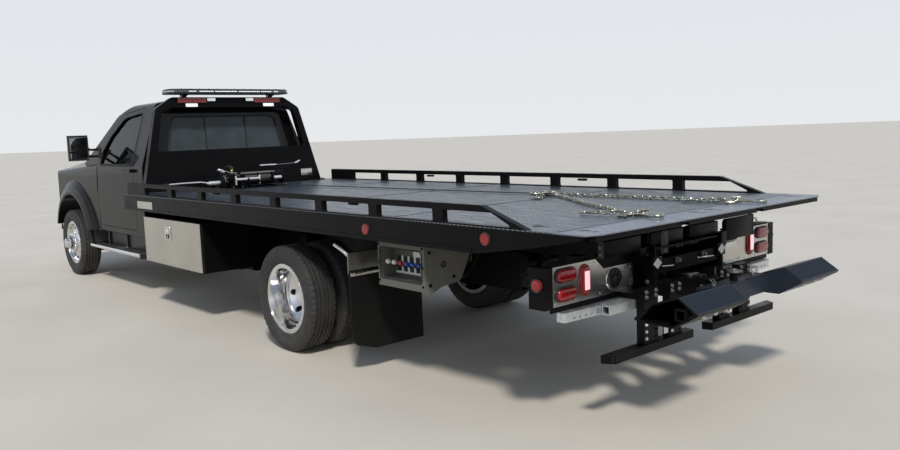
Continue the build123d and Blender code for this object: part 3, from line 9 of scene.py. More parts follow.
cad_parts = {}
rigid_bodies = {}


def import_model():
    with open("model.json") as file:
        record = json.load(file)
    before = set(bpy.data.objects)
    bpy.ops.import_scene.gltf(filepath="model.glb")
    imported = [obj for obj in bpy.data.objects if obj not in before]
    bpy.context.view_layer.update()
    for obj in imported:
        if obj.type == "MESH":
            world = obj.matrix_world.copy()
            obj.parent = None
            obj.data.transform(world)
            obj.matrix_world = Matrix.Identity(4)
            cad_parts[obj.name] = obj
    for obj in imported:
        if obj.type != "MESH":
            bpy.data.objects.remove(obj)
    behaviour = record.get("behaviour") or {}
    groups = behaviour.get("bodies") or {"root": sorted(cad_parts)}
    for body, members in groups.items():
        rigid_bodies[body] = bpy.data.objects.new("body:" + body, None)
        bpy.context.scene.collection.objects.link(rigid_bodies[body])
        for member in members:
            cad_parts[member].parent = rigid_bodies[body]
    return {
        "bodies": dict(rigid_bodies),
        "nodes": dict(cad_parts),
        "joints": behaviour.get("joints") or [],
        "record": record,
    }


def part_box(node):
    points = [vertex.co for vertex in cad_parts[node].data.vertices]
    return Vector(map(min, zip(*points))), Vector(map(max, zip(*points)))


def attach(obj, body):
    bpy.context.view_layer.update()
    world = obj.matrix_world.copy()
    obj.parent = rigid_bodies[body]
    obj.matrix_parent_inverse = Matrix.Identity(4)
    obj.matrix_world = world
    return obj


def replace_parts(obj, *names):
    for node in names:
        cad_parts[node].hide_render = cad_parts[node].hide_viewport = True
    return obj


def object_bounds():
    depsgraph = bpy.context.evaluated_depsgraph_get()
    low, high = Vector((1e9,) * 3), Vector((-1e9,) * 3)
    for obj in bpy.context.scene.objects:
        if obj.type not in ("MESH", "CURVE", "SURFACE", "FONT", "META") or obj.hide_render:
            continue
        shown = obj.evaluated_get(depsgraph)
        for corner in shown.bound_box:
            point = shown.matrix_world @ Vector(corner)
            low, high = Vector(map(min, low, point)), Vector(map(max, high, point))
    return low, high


# Looks of the flatbed tow truck. Metres, +X forwards, +Y left, +Z up. Places along the truck are
# written from the rear axle, as tx(), and moved into the row frame.
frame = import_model()
CAD_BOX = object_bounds()
NODES = frame["nodes"]

AXLE_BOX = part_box("rear_tyres_left")
REAR_AXLE = (AXLE_BOX[0].x + AXLE_BOX[1].x) / 2
AXLE_Z = (AXLE_BOX[0].z + AXLE_BOX[1].z) / 2
DECK_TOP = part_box("deck_floor")[1].z


# Slope of the wheel pads that the tyres rest on, seen from the side
PAD_SLOPE = ((-3.1705, 0.6672), (-3.0675, 0.7362))


# Camera of the photograph, from the rear axle on the ground
CAMERA_PLACE = (-5.25, 4.156, 1.579)
CAMERA_YAW = -41.46
CAMERA_PITCH = -6.58
CAMERA_ROLL = -2.1
CAMERA_LENS = 32.69


def tx(x):
    """Row frame x of a place measured forwards from the rear axle."""
    return x + REAR_AXLE


def place(x, y, z):
    return Vector((tx(x), y, z))


# Camera, floor and light
def make_camera():
    yaw = radians(CAMERA_YAW)
    pitch = radians(CAMERA_PITCH)
    roll = radians(CAMERA_ROLL)
    ahead = Vector((cos(pitch) * cos(yaw), cos(pitch) * sin(yaw), sin(pitch)))
    right = ahead.cross(Vector((0, 0, 1))).normalized()
    up = right.cross(ahead)
    turned_right = right * cos(roll) + up * sin(roll)
    turned_up = up * cos(roll) - right * sin(roll)
    data = bpy.data.cameras.new("camera")
    data.lens = CAMERA_LENS
    data.sensor_width = 36
    data.clip_end = 200
    camera = bpy.data.objects.new("camera", data)
    rotation = Matrix((turned_right, turned_up, -ahead)).transposed().to_4x4()
    camera.matrix_world = Matrix.Translation(place(*CAMERA_PLACE)) @ rotation
    bpy.context.scene.collection.objects.link(camera)
    bpy.context.scene.camera = camera


SUN_FROM = (-0.6, 0.42, 0.78)
# Sky colours by height above the horizon: plain and pale where the camera sees them
SKY = ((0.0, (0.8, 0.82, 0.84)), (0.22, (0.74, 0.78, 0.83)),
       (0.42, (0.5, 0.56, 0.66)), (0.8, (0.27, 0.34, 0.47)))


def make_light():
    """Soft sun from behind on the left, and a sky that is pale at the horizon."""
    data = bpy.data.lights.new("sun", "SUN")
    data.energy = 2.6
    data.angle = radians(7)
    data.color = (1.0, 0.96, 0.89)
    light = bpy.data.objects.new("sun", data)
    light.rotation_euler = Vector(SUN_FROM).to_track_quat("Z", "Y").to_euler()
    bpy.context.scene.collection.objects.link(light)
    world = bpy.data.worlds.new("studio")
    world.use_nodes = True
    tree = world.node_tree
    tree.nodes.clear()
    out = tree.nodes.new("ShaderNodeOutputWorld")
    sky = tree.nodes.new("ShaderNodeBackground")
    coordinate = tree.nodes.new("ShaderNodeTexCoord")
    split = tree.nodes.new("ShaderNodeSeparateXYZ")
    ramp = tree.nodes.new("ShaderNodeValToRGB")
    tree.links.new(coordinate.outputs["Generated"], split.inputs[0])
    tree.links.new(split.outputs["Z"], ramp.inputs[0])
    stops = ramp.color_ramp.elements
    while len(stops) < len(SKY):
        stops.new(0.5)
    for stop, (height, colour) in zip(stops, SKY):
        stop.position = height
        stop.color = (*colour, 1)
    tree.links.new(ramp.outputs[0], sky.inputs["Color"])
    tree.links.new(sky.outputs[0], out.inputs[0])
    bpy.context.scene.world = world


make_camera()
make_light()
bpy.context.scene.view_settings.view_transform = "Standard"


# Materials
MATERIALS = {}
# Numbers of the mix node's colour sockets, which share their names with others
COLOUR_A, COLOUR_B, MIXED_COLOUR = 6, 7, 2


class Shader:
    """A material's node tree, with short calls for the nodes that the materials share."""

    def __init__(self, name, colour, metallic=0.0, roughness=0.5, coat=0.0):
        self.material = bpy.data.materials.new(name)
        self.material.use_nodes = True
        self.material.diffuse_color = (*colour, 1)
        MATERIALS[name] = self.material
        self.tree = self.material.node_tree
        self.bsdf = self.tree.nodes["Principled BSDF"]
        self.set("Base Color", (*colour, 1))
        self.set("Metallic", metallic)
        self.set("Roughness", roughness)
        self.set("Coat Weight", coat)
        self.set("Coat Roughness", 0.03)
        self.coordinate = self.node("TexCoord").outputs["Object"]
        self.edge = None

    def set(self, socket, value):
        self.bsdf.inputs[socket].default_value = value

    def link(self, source, target):
        self.tree.links.new(source, target)

    def put(self, source, socket):
        self.link(source, self.bsdf.inputs[socket])

    def node(self, kind, inputs=None, **settings):
        """New node with settings. Its inputs, by name or number, take values or other nodes' outputs."""
        node = self.tree.nodes.new("ShaderNode" + kind)
        for name, value in settings.items():
            setattr(node, name, value)
        for key, value in (inputs or {}).items():
            if hasattr(value, "is_output"):
                self.link(value, node.inputs[key])
            elif value is not None:
                node.inputs[key].default_value = value
        return node

    def math(self, operation, a, b=None, clamp=False):
        return self.node("Math", {0: a, 1: b}, operation=operation, use_clamp=clamp).outputs[0]

    def times(self, a, b, clamp=False):
        return self.math("MULTIPLY", a, b, clamp)

    def minus(self, a, b):
        return self.math("SUBTRACT", a, b)

    def above(self, value, limit):
        return self.math("GREATER_THAN", value, limit)

    def below(self, value, limit):
        return self.math("LESS_THAN", value, limit)

    def size_of(self, value):
        return self.math("ABSOLUTE", value)

    def axes(self, vector=None):
        return self.node("SeparateXYZ", {0: vector or self.coordinate}).outputs

    def scaled(self, size):
        """Object coordinates multiplied by size along each axis."""
        return self.node("Mapping", {"Vector": self.coordinate, "Scale": size}).outputs[0]

    def noise(self, scale, detail=3.0, vector=None, roughness=0.5):
        return self.node("TexNoise", {"Vector": vector or self.coordinate, "Scale": scale, "Detail": detail,
                                      "Roughness": roughness}).outputs["Fac"]

    def cells(self, scale):
        return self.node("TexVoronoi", {"Vector": self.coordinate, "Scale": scale}).outputs

    def span(self, value, low, high, out_low=0.0, out_high=1.0):
        return self.node("MapRange", {"Value": value, "From Min": low, "From Max": high, "To Min": out_low,
                                      "To Max": out_high}).outputs[0]

    def blend(self, factor, a, b):
        """Mixes two colours, each a triple or an output."""
        a, b = [c if hasattr(c, "is_output") else (*c, 1) for c in (a, b)]
        mix = self.node("Mix", {0: factor, COLOUR_A: a, COLOUR_B: b}, data_type="RGBA")
        return mix.outputs[MIXED_COLOUR]

    def soft_edges(self, radius=0.003):
        """Rounds the shading of hard edges, for the carried-over shapes."""
        self.edge = self.node("Bevel", {"Radius": radius}, samples=4).outputs[0]
        self.put(self.edge, "Normal")
        return self

    def between(self, value, low, high):
        """One where the value lies between the limits, else nought."""
        return self.times(self.above(value, low), self.below(value, high))

    def bump(self, height, distance, strength):
        inputs = {"Normal": self.edge, "Strength": strength, "Distance": distance, "Height": height}
        self.put(self.node("Bump", inputs).outputs[0], "Normal")

    def dusty(self, colour, dust, low_z, high_z, amount):
        """Colour that takes dust towards the ground and in soft patches."""
        height = self.span(self.axes()[2], low_z, high_z, amount, amount * 0.15)
        patches = self.span(self.noise(6, 5), 0.35, 0.7, 0.2, 1.0)
        return self.blend(self.times(height, patches, True), colour, dust)

    def uneven(self, socket, noise, span):
        """Drives a socket by noise of (scale, detail) over a span of (low, high, value, value)."""
        self.put(self.span(self.noise(*noise), *span), socket)

    def mottled(self, noise, span, a, b):
        """Base colour that wanders from a to b with noise."""
        self.put(self.blend(self.span(self.noise(*noise), *span), a, b), "Base Color")

    def specular(self, level, tint=None):
        self.set("Specular IOR Level", level)
        if tint is not None:
            self.set("Specular Tint", (tint, tint, tint, 1))


def coat(name, colour, dust, sheen, relief, look=(), edges=True, metallic=0.0, roughness=0.5):
    """One colour that takes (colour, low, high, amount) of dust, with uneven sheen and fine relief."""
    s = Shader(name, colour, metallic=metallic, roughness=roughness)
    if edges:
        s.soft_edges()
    s.put(s.dusty(colour, *dust), "Base Color")
    if look:
        s.specular(*look)
    if sheen:
        s.uneven("Roughness", *sheen)
    noise, *height = relief
    s.bump(s.noise(*noise), *height)


def gloss_black():
    """Black body paint under clear coat, with road dust towards the sills."""
    s = Shader("gloss_black", (0.0035, 0.0035, 0.004), roughness=0.35, coat=0.42).soft_edges()
    s.put(s.dusty((0.0035, 0.0035, 0.004), (0.06, 0.055, 0.045), 0.45, 0.9, 0.08), "Base Color")
    s.specular(0.05)
    s.uneven("Coat Roughness", (3, 4), (0.4, 0.7, 0.02, 0.055))


def satin_black():
    """Powder-coated steel: fine orange peel, dust low down and dull rubbed patches."""
    coat("satin_black", (0.0045, 0.0045, 0.005), ((0.05, 0.045, 0.036), 0.3, 1.0, 0.05),
         ((9, 4), (0.3, 0.75, 0.27, 0.42)), ((420, 2), 0.0005, 0.4), (0.11, 0.55))


def powder(name, colour, roughness):
    """Powder coat of one colour: orange peel, rubbed patches and a little dust low down."""
    coat(name, colour, ((0.08, 0.072, 0.06), 0.3, 1.0, 0.12),
         ((11, 4), (0.3, 0.75, roughness - 0.08, roughness + 0.08)),
         ((400, 2), 0.0004, 0.4), (0.14, 0.45))


def cast_metal(name, colour, roughness=0.55, metallic=0.8):
    """Rough cast or forged surface."""
    coat(name, colour, ((0.12, 0.1, 0.08), 0.2, 1.0, 0.3),
         ((30, 4), (0.3, 0.7, roughness - 0.1, roughness + 0.15)),
         ((220, 4), 0.001, 0.5), metallic=metallic)


def tyre_rubber():
    coat("tyre_rubber", (0.017, 0.017, 0.018), ((0.085, 0.078, 0.066), 0.05, 0.8, 0.55),
         ((25, 4), (0.3, 0.7, 0.62, 0.85)), ((300, 3), 0.0005, 0.4), edges=False)


def flap_rubber():
    coat("flap_rubber", (0.006, 0.006, 0.006), ((0.05, 0.045, 0.038), 0.1, 0.7, 0.12),
         None, ((160, 3), 0.0006, 0.5), (0.12,), edges=False, roughness=0.55)


def pad_tread():
    """Blue-grey where the tyre rests and on the bar, with painted shade in black inside the pads and under
    them.
    """
    light = (0.024, 0.03, 0.042)
    inner_edge = 0.304
    s = Shader("pad_tread", light).soft_edges()
    x, y, z = s.axes()
    (x0, z0), (x1, z1) = PAD_SLOPE
    run = Vector((x1 - x0, z1 - z0)).normalized()
    rise = s.minus(s.times(s.minus(z, z0), run.x), s.times(s.minus(x, tx(x0)), run.y))
    # Painted shade: black below the tread slope, inside and under the pads.
    black = s.times(s.below(rise, -0.003), s.above(s.size_of(y), inner_edge))
    s.put(s.blend(black, light, (0.006, 0.006, 0.007)), "Base Color")
    s.specular(0.14, 0.45)
    s.uneven("Roughness", (11, 4), (0.3, 0.75, 0.26, 0.42))
    s.bump(s.noise(400, 2), 0.0004, 0.4)


def tread_lozenges(s, pitch, long, wide):
    """Height of the raised lozenges of tread plate, each turned the other way from its neighbours."""
    x, y, _ = s.axes()
    u = s.math("DIVIDE", x, pitch)
    v = s.math("DIVIDE", y, pitch)
    column = s.math("FLOOR", u)
    row = s.math("FLOOR", v)
    parity = s.math("MODULO", s.size_of(s.math("ADD", column, row)), 2.0)
    fu = s.minus(s.minus(u, column), 0.5)
    turned = s.minus(s.times(parity, 2.0), 1.0)
    fv = s.times(s.minus(s.minus(v, row), 0.5), turned)
    along = s.times(s.math("ADD", fu, fv), 0.7071)
    across = s.times(s.minus(fu, fv), 0.7071)
    a = s.math("POWER", s.math("DIVIDE", s.size_of(along), long), 2.0)
    b = s.math("POWER", s.math("DIVIDE", s.size_of(across), wide), 2.0)
    return s.span(s.math("ADD", a, b), 1.0, 0.55)


def deck_paint():
    """Blue-grey deck plate: tread plate on the rear part, smooth elsewhere, scuffed along the lanes."""
    tread_from, tread_to = -2.66, -1.32
    lane_y = 0.78
    s = Shader("deck_paint", (0.05, 0.06, 0.075), metallic=0.2, roughness=0.32).soft_edges(0.002)
    x, y, _ = s.axes()
    rear = s.times(s.below(x, tx(tread_to)), s.above(x, tx(tread_from)))
    lozenge = s.times(tread_lozenges(s, 0.034, 0.6, 0.17), rear)
    lane = s.span(s.size_of(s.minus(s.size_of(y), lane_y)), 0.1, 0.38, 1.0, 0.0)
    streaks = s.noise(3.2, 6, s.scaled((0.5, 9, 1)), 0.7)
    scuff = s.times(s.span(streaks, 0.48, 0.72), s.math("ADD", lane, 0.35), True)
    base = s.blend(scuff, (0.038, 0.047, 0.062), (0.12, 0.135, 0.155))
    worn = s.times(lozenge, s.span(s.noise(5, 3), 0.35, 0.65, 0.25, 0.9))
    plate = s.blend(worn, base, (0.2, 0.22, 0.25))
    tail = s.span(x, tx(-2.64), tx(-2.67))
    s.put(s.blend(tail, plate, (0.15, 0.17, 0.21)), "Base Color")
    s.put(s.span(s.noise(14, 5, s.scaled((0.4, 2, 1))), 0.3, 0.7, 0.24, 0.42), "Roughness")
    grain = s.times(s.noise(240, 2), 0.12)
    s.bump(s.math("ADD", lozenge, grain), 0.0022, 0.9)


def brushed(name, colour, axis_scale, roughness=(0.16, 0.32), dust=0.0, relief=0.2):
    """Sheet metal with a fine grain along the axis that has the small scale."""
    s = Shader(name, colour, metallic=1.0).soft_edges(0.002)
    grain = s.noise(90, 3, s.scaled(axis_scale), 0.6)
    base = s.blend(s.span(s.noise(2.6, 3), 0.3, 0.7), colour, tuple(c * 0.88 for c in colour))
    if dust:
        base = s.dusty(base, (0.32, 0.29, 0.24), 0.4, 0.9, dust)
    s.put(base, "Base Color")
    s.put(s.span(grain, 0.3, 0.7, *roughness), "Roughness")
    s.bump(grain, 0.0002, relief)


def bright_steel():
    """Plated fittings that take the light of the whole sky."""
    s = Shader("bright_steel", (0.84, 0.84, 0.83), metallic=0.55, roughness=0.22).soft_edges(0.002)
    grain = s.noise(240, 3)
    s.put(s.blend(s.span(grain, 0.3, 0.7), (0.72, 0.72, 0.71), (0.9, 0.9, 0.89)), "Base Color")
    s.bump(grain, 0.0002, 0.15)


def step_chrome():
    """Bright step, with black brackets above it and a dark panel there that is painted shade of the
    underbody.
    """
    bright = (0.85, 0.85, 0.86)
    step_top, step_inside = 0.4285, 0.8885
    s = Shader("step_chrome", bright, metallic=1.0).soft_edges(0.003)
    _, y, z = s.axes()
    # Dark mask: the brackets are really black; on the panel above the step it is painted shade of the
    # underbody.
    dark = s.math("MAXIMUM", s.above(z, step_top), s.below(s.size_of(y), step_inside))
    s.put(s.blend(dark, bright, (0.008, 0.008, 0.008)), "Base Color")
    s.put(s.minus(1.0, dark), "Metallic")
    wear = s.span(s.noise(12, 3), 0.35, 0.75, 0.05, 0.13)
    s.put(s.math("ADD", wear, s.times(dark, 0.35)), "Roughness")


def polished_alloy():
    """Polished wheel with a little brake dust."""
    s = Shader("polished_alloy", (0.82, 0.82, 0.83), metallic=1.0).soft_edges(0.0025)
    s.mottled((7, 4), (0.4, 0.75), (0.82, 0.82, 0.83), (0.6, 0.59, 0.57))
    s.uneven("Roughness", (30, 4), (0.3, 0.7, 0.07, 0.2))


def chrome():
    s = Shader("chrome", (0.85, 0.85, 0.86), metallic=1.0)
    s.uneven("Roughness", (12, 3), (0.35, 0.75, 0.04, 0.14))


def galvanised():
    """Hot-dip zinc with its large crystals."""
    s = Shader("galvanised", (0.6, 0.62, 0.63), metallic=0.85).soft_edges()
    shade = s.span(s.axes(s.cells(75)["Color"])[0], 0.0, 1.0)
    s.put(s.blend(shade, (0.52, 0.545, 0.56), (0.64, 0.665, 0.68)), "Base Color")
    s.put(s.span(shade, 0.0, 1.0, 0.3, 0.5), "Roughness")


def zinc_chain():
    """Yellow-chromate chain steel, rubbed bright on its crowns."""
    s = Shader("zinc_chain", (0.55, 0.53, 0.45), metallic=1.0)
    s.mottled((60, 4), (0.42, 0.6), (0.62, 0.61, 0.56), (0.38, 0.35, 0.22))
    s.uneven("Roughness", (90, 3), (0.3, 0.7, 0.18, 0.38))


def moulded(name, colour, roughness=0.5, grain=500):
    s = Shader(name, colour)
    s.mottled((4, 3), (0.3, 0.7), colour, tuple(c * 1.35 + 0.003 for c in colour))
    s.uneven("Roughness", (18, 3), (0.3, 0.7, roughness - 0.07, roughness + 0.1))
    s.bump(s.cells(grain)["Distance"], 0.0004, 0.5)


def seat_cloth():
    """Woven cloth: two crossed sets of threads with a slight mottle."""
    threads = 1900.0
    s = Shader("seat_cloth", (0.05, 0.05, 0.055), roughness=0.9)
    x, y, z = s.axes()
    warp = s.math("SINE", s.times(y, threads))
    weft = s.math("SINE", s.times(s.math("ADD", x, z), threads))
    weave = s.times(warp, weft)
    s.put(s.blend(s.span(weave, -1.0, 1.0), (0.03, 0.03, 0.034), (0.085, 0.085, 0.09)), "Base Color")
    s.set("Sheen Weight", 0.3)
    s.bump(weave, 0.0006, 0.6)


def dark_glass():
    """Tinted panes. The rear window, behind this place, is painted shade of the cab inside: dark, mottled
    and letting little light through.
    """
    rear_until = 3.2
    s = Shader("dark_glass", (0.075, 0.085, 0.09))
    s.set("IOR", 1.28)
    rear = s.below(s.axes()[0], tx(rear_until))
    # The rear window's dark mottled colour is painted shade.
    painted_shade_mottle = s.blend(s.span(s.noise(5, 4), 0.35, 0.7), (0.04, 0.052, 0.06), (0.06, 0.074, 0.082))
    s.put(s.blend(rear, (0.06, 0.07, 0.075), painted_shade_mottle), "Base Color")
    s.put(s.minus(1.0, s.times(rear, 0.85)), "Transmission Weight")
    s.uneven("Roughness", (3, 3), (0.4, 0.8, 0.0, 0.03))


def mirror_glass():
    s = Shader("mirror_glass", (0.3, 0.31, 0.32), metallic=1.0)
    s.mottled((8, 3), (0.4, 0.8), (0.3, 0.31, 0.32), (0.26, 0.27, 0.28))
    s.uneven("Roughness", (20, 3), (0.4, 0.8, 0.01, 0.06))


def lens(name, colour, glow=None, strength=0.0, scale=190):
    """Moulded lamp lens: small domed cells under a clear face."""
    s = Shader(name, colour, roughness=0.22, coat=0.7)
    cell = s.cells(scale)["Distance"]
    lighter = tuple(min(1, c * 1.5 + 0.003) for c in colour)
    s.put(s.blend(s.span(cell, 0.1, 0.7), lighter, colour), "Base Color")
    s.specular(0.3)
    if glow:
        s.set("Emission Color", (*glow, 1))
        s.set("Emission Strength", strength)
    s.bump(cell, 0.0015, 0.4)


def split_lens(name, other_part, other, light, dark):
    """Red lens whose other part, found by a function of the shader, has a colour of its own."""
    s = Shader(name, light, roughness=0.2, coat=0.8)
    cell = s.cells(150)["Distance"]
    part = other_part(s)
    red = s.blend(s.span(cell, 0.1, 0.7), light, dark)
    s.put(s.blend(part, red, other), "Base Color")
    s.specular(0.3)
    s.bump(cell, 0.0015, 0.4)
    return s, part


def tail_lens():
    """Red lamps of the tail, and the dark sleeve of the round port beside them."""
    def port(s):
        return s.between(s.size_of(s.axes()[1]), 0.53, 0.68)

    split_lens("tail_lens", port, (0.01, 0.01, 0.01), (0.42, 0.006, 0.01), (0.2, 0.001, 0.002))


def rack_lens():
    """Red lamps of the rack and beams. The short ones beside and below the long ones are clear."""
    rack_from, lower_until = 1.9, 1.9655

    def short_lamps(s):
        _, y, z = s.axes()
        side = s.size_of(y)
        lower = s.times(s.below(z, lower_until), s.between(side, 0.36, 0.53))
        return s.times(s.above(z, rack_from), s.math("MAXIMUM", s.between(side, 0.17, 0.272), lower))

    red, deep_red = (0.36, 0.004, 0.008), (0.16, 0.001, 0.002)
    s, clear = split_lens("rack_lens", short_lamps, (0.8, 0.82, 0.84), red, deep_red)
    s.put(s.blend(clear, (0, 0, 0), (1, 1, 1)), "Emission Color")
    s.set("Emission Strength", 0.35)


gloss_black()
satin_black()
deck_paint()
brushed("stainless", (0.6, 0.58, 0.53), (0.04, 1, 1), (0.15, 0.24), 0.06)
brushed("tail_stainless", (0.62, 0.6, 0.56), (1, 0.04, 1), (0.22, 0.27), relief=0.04)
polished_alloy()
chrome()
bright_steel()
galvanised()
zinc_chain()
tyre_rubber()
flap_rubber()
moulded("black_plastic", (0.018, 0.018, 0.019), 0.45)
moulded("grey_plastic", (0.075, 0.073, 0.07), 0.6)
seat_cloth()
dark_glass()
lens("red_lens", (0.22, 0.002, 0.004))
lens("red_lit", (0.65, 0.02, 0.02), (1.0, 0.1, 0.08), 0.9)
lens("clear_lens", (0.55, 0.57, 0.6), scale=120)
lens("smoke_lens", (0.06, 0.062, 0.066), scale=120)
lens("lamp_glass", (0.15, 0.155, 0.165), scale=60)
lens("white_lit", (0.9, 0.9, 0.9), (1.0, 1.0, 1.0), 0.7, 260)
tail_lens()
rack_lens()
step_chrome()
moulded("dull_black", (0.01, 0.01, 0.01), 0.6, 260)
cast_metal("brass", (0.45, 0.33, 0.12), 0.35, 1.0)
cast_metal("cast_steel", (0.2, 0.2, 0.2))
cast_metal("wire_rope", (0.1, 0.1, 0.1), 0.45, 0.7)
mirror_glass()
lens("amber_lens", (0.55, 0.16, 0.01))
moulded("white_enamel", (0.62, 0.62, 0.6), 0.4, 600)
lens("pink_lit", (0.9, 0.55, 0.58), (1.0, 0.5, 0.55), 0.8, 300)
pad_tread()
powder("grey_paint", (0.055, 0.056, 0.06), 0.42)
powder("control_steel", (0.135, 0.132, 0.115), 0.42)
brushed("dull_steel", (0.4, 0.39, 0.35), (1, 1, 0.05), (0.36, 0.48))
moulded("knob_blue", (0.02, 0.06, 0.35), 0.35)
moulded("knob_red", (0.4, 0.02, 0.015), 0.35)
powder("rack_black", (0.0035, 0.0035, 0.0042), 0.3)


# Looks of the carried-over CAD nodes
CAD_LOOKS = {
    "satin_black": ("chassis_frame", "rear_suspension", "front_suspension", "fuel_tank", "toolboxes",
                    "subframe", "tail_frame", "underride_bars", "boom_outer", "boom_inner",
                    "tilt_cylinders", "deck_frame", "side_rails", "winch"),
    "cast_steel": ("drivetrain", "exhaust", "winch_drum"),
    "gloss_black": ("cab_shell", "front_fenders", "hood"),
    "chrome": ("grille", "front_bumper", "tilt_rods"),
    "zinc_chain": ("bridle_chains", "tow_hook"),
    "dark_glass": ("cab_glass",), "grey_plastic": ("dashboard",), "seat_cloth": ("seats",),
    "lamp_glass": ("headlamps",), "step_chrome": ("running_boards",), "flap_rubber": ("mud_flaps",),
    "dull_steel": ("flap_brackets",), "control_steel": ("control_stations",),
    "tail_stainless": ("tail_panels",), "tail_lens": ("tail_lamps",), "galvanised": ("l_arms",),
    "pad_tread": ("crossbar",),
    "deck_paint": ("deck_floor",), "rack_black": ("headache_rack",), "dull_black": ("light_bar",),
    "rack_lens": ("deck_lamps",), "wire_rope": ("winch_cable",),
}
SIDED_LOOKS = {
    "cast_steel": ("knuckle",), "tyre_rubber": ("front_tyre", "rear_tyres"),
    "polished_alloy": ("front_rim", "rear_rims"), "gloss_black": ("door",), "dark_glass": ("door_glass",),
    "stainless": ("toolbox_lid",),
}
SIDES = {"left": 1, "right": -1}


def paint_cad_nodes():
    looks = {node: look for look, nodes in CAD_LOOKS.items() for node in nodes}
    for look, nodes in SIDED_LOOKS.items():
        looks.update({f"{node}_{side}": look for node in nodes for side in SIDES})
    for node, look in looks.items():
        slots = NODES[node].data.materials
        slots.clear()
        slots.append(MATERIALS[look])


paint_cad_nodes()


# Mesh building
def frame_along(direction):
    """Rotation that turns +Z into the direction."""
    return Vector(direction).normalized().to_track_quat("Z", "Y").to_matrix().to_4x4()


def lifted(outline, axis, at):
    """Points in space of a flat outline that lies across an axis, at a place along it."""
    if axis == "x":
        return [(at, u, v) for u, v in outline]
    if axis == "y":
        return [(u, at, v) for u, v in outline]
    return [(u, v, at) for u, v in outline]


def around(count, radius, first=0.0):
    """Places evenly round a circle as (u, v), the first one so many steps from the u axis."""
    angles = [2 * pi * (i + first) / count for i in range(count)]
    return [(radius * cos(angle), radius * sin(angle)) for angle in angles]


def rounded_rectangle(u, v, width, height, radius, steps=6):
    """Outline of a rectangle with round corners about u, v."""
    points = []
    for turn, (su, sv) in enumerate(((1, 1), (-1, 1), (-1, -1), (1, -1))):
        for i in range(steps + 1):
            angle = pi / 2 * (turn + i / steps)
            points.append((u + su * (width / 2 - radius) + radius * cos(angle),
                           v + sv * (height / 2 - radius) + radius * sin(angle)))
    return points


def smooth_path(points, steps=6):
    """Points along a smooth curve through the given ones."""
    spots = [Vector(p) for p in points]
    path = []
    for i in range(len(spots) - 1):
        p0 = spots[max(i - 1, 0)]
        p1 = spots[i]
        p2 = spots[i + 1]
        p3 = spots[min(i + 2, len(spots) - 1)]
        for k in range(steps):
            t = k / steps
            path.append(0.5 * (2 * p1 + (p2 - p0) * t + (2 * p0 - 5 * p1 + 4 * p2 - p3) * t * t
                               + (3 * p1 - p0 - 3 * p2 + p3) * t ** 3))
    path.append(spots[-1])
    return path


# Radius and height of fastenings, as shares of their size
WASHER = ((0, 0), (1.25, 0), (1.25, 0.16), (1.15, 0.25), (0, 0.25))
BOLT_HEAD = ((0.92, 0.2), (1, 0.35), (1, 0.85), (0.85, 1), (0, 1.02))
RIVET_HEAD = ((1, 0), (0.9, 0.35), (0.55, 0.6), (0, 0.68))


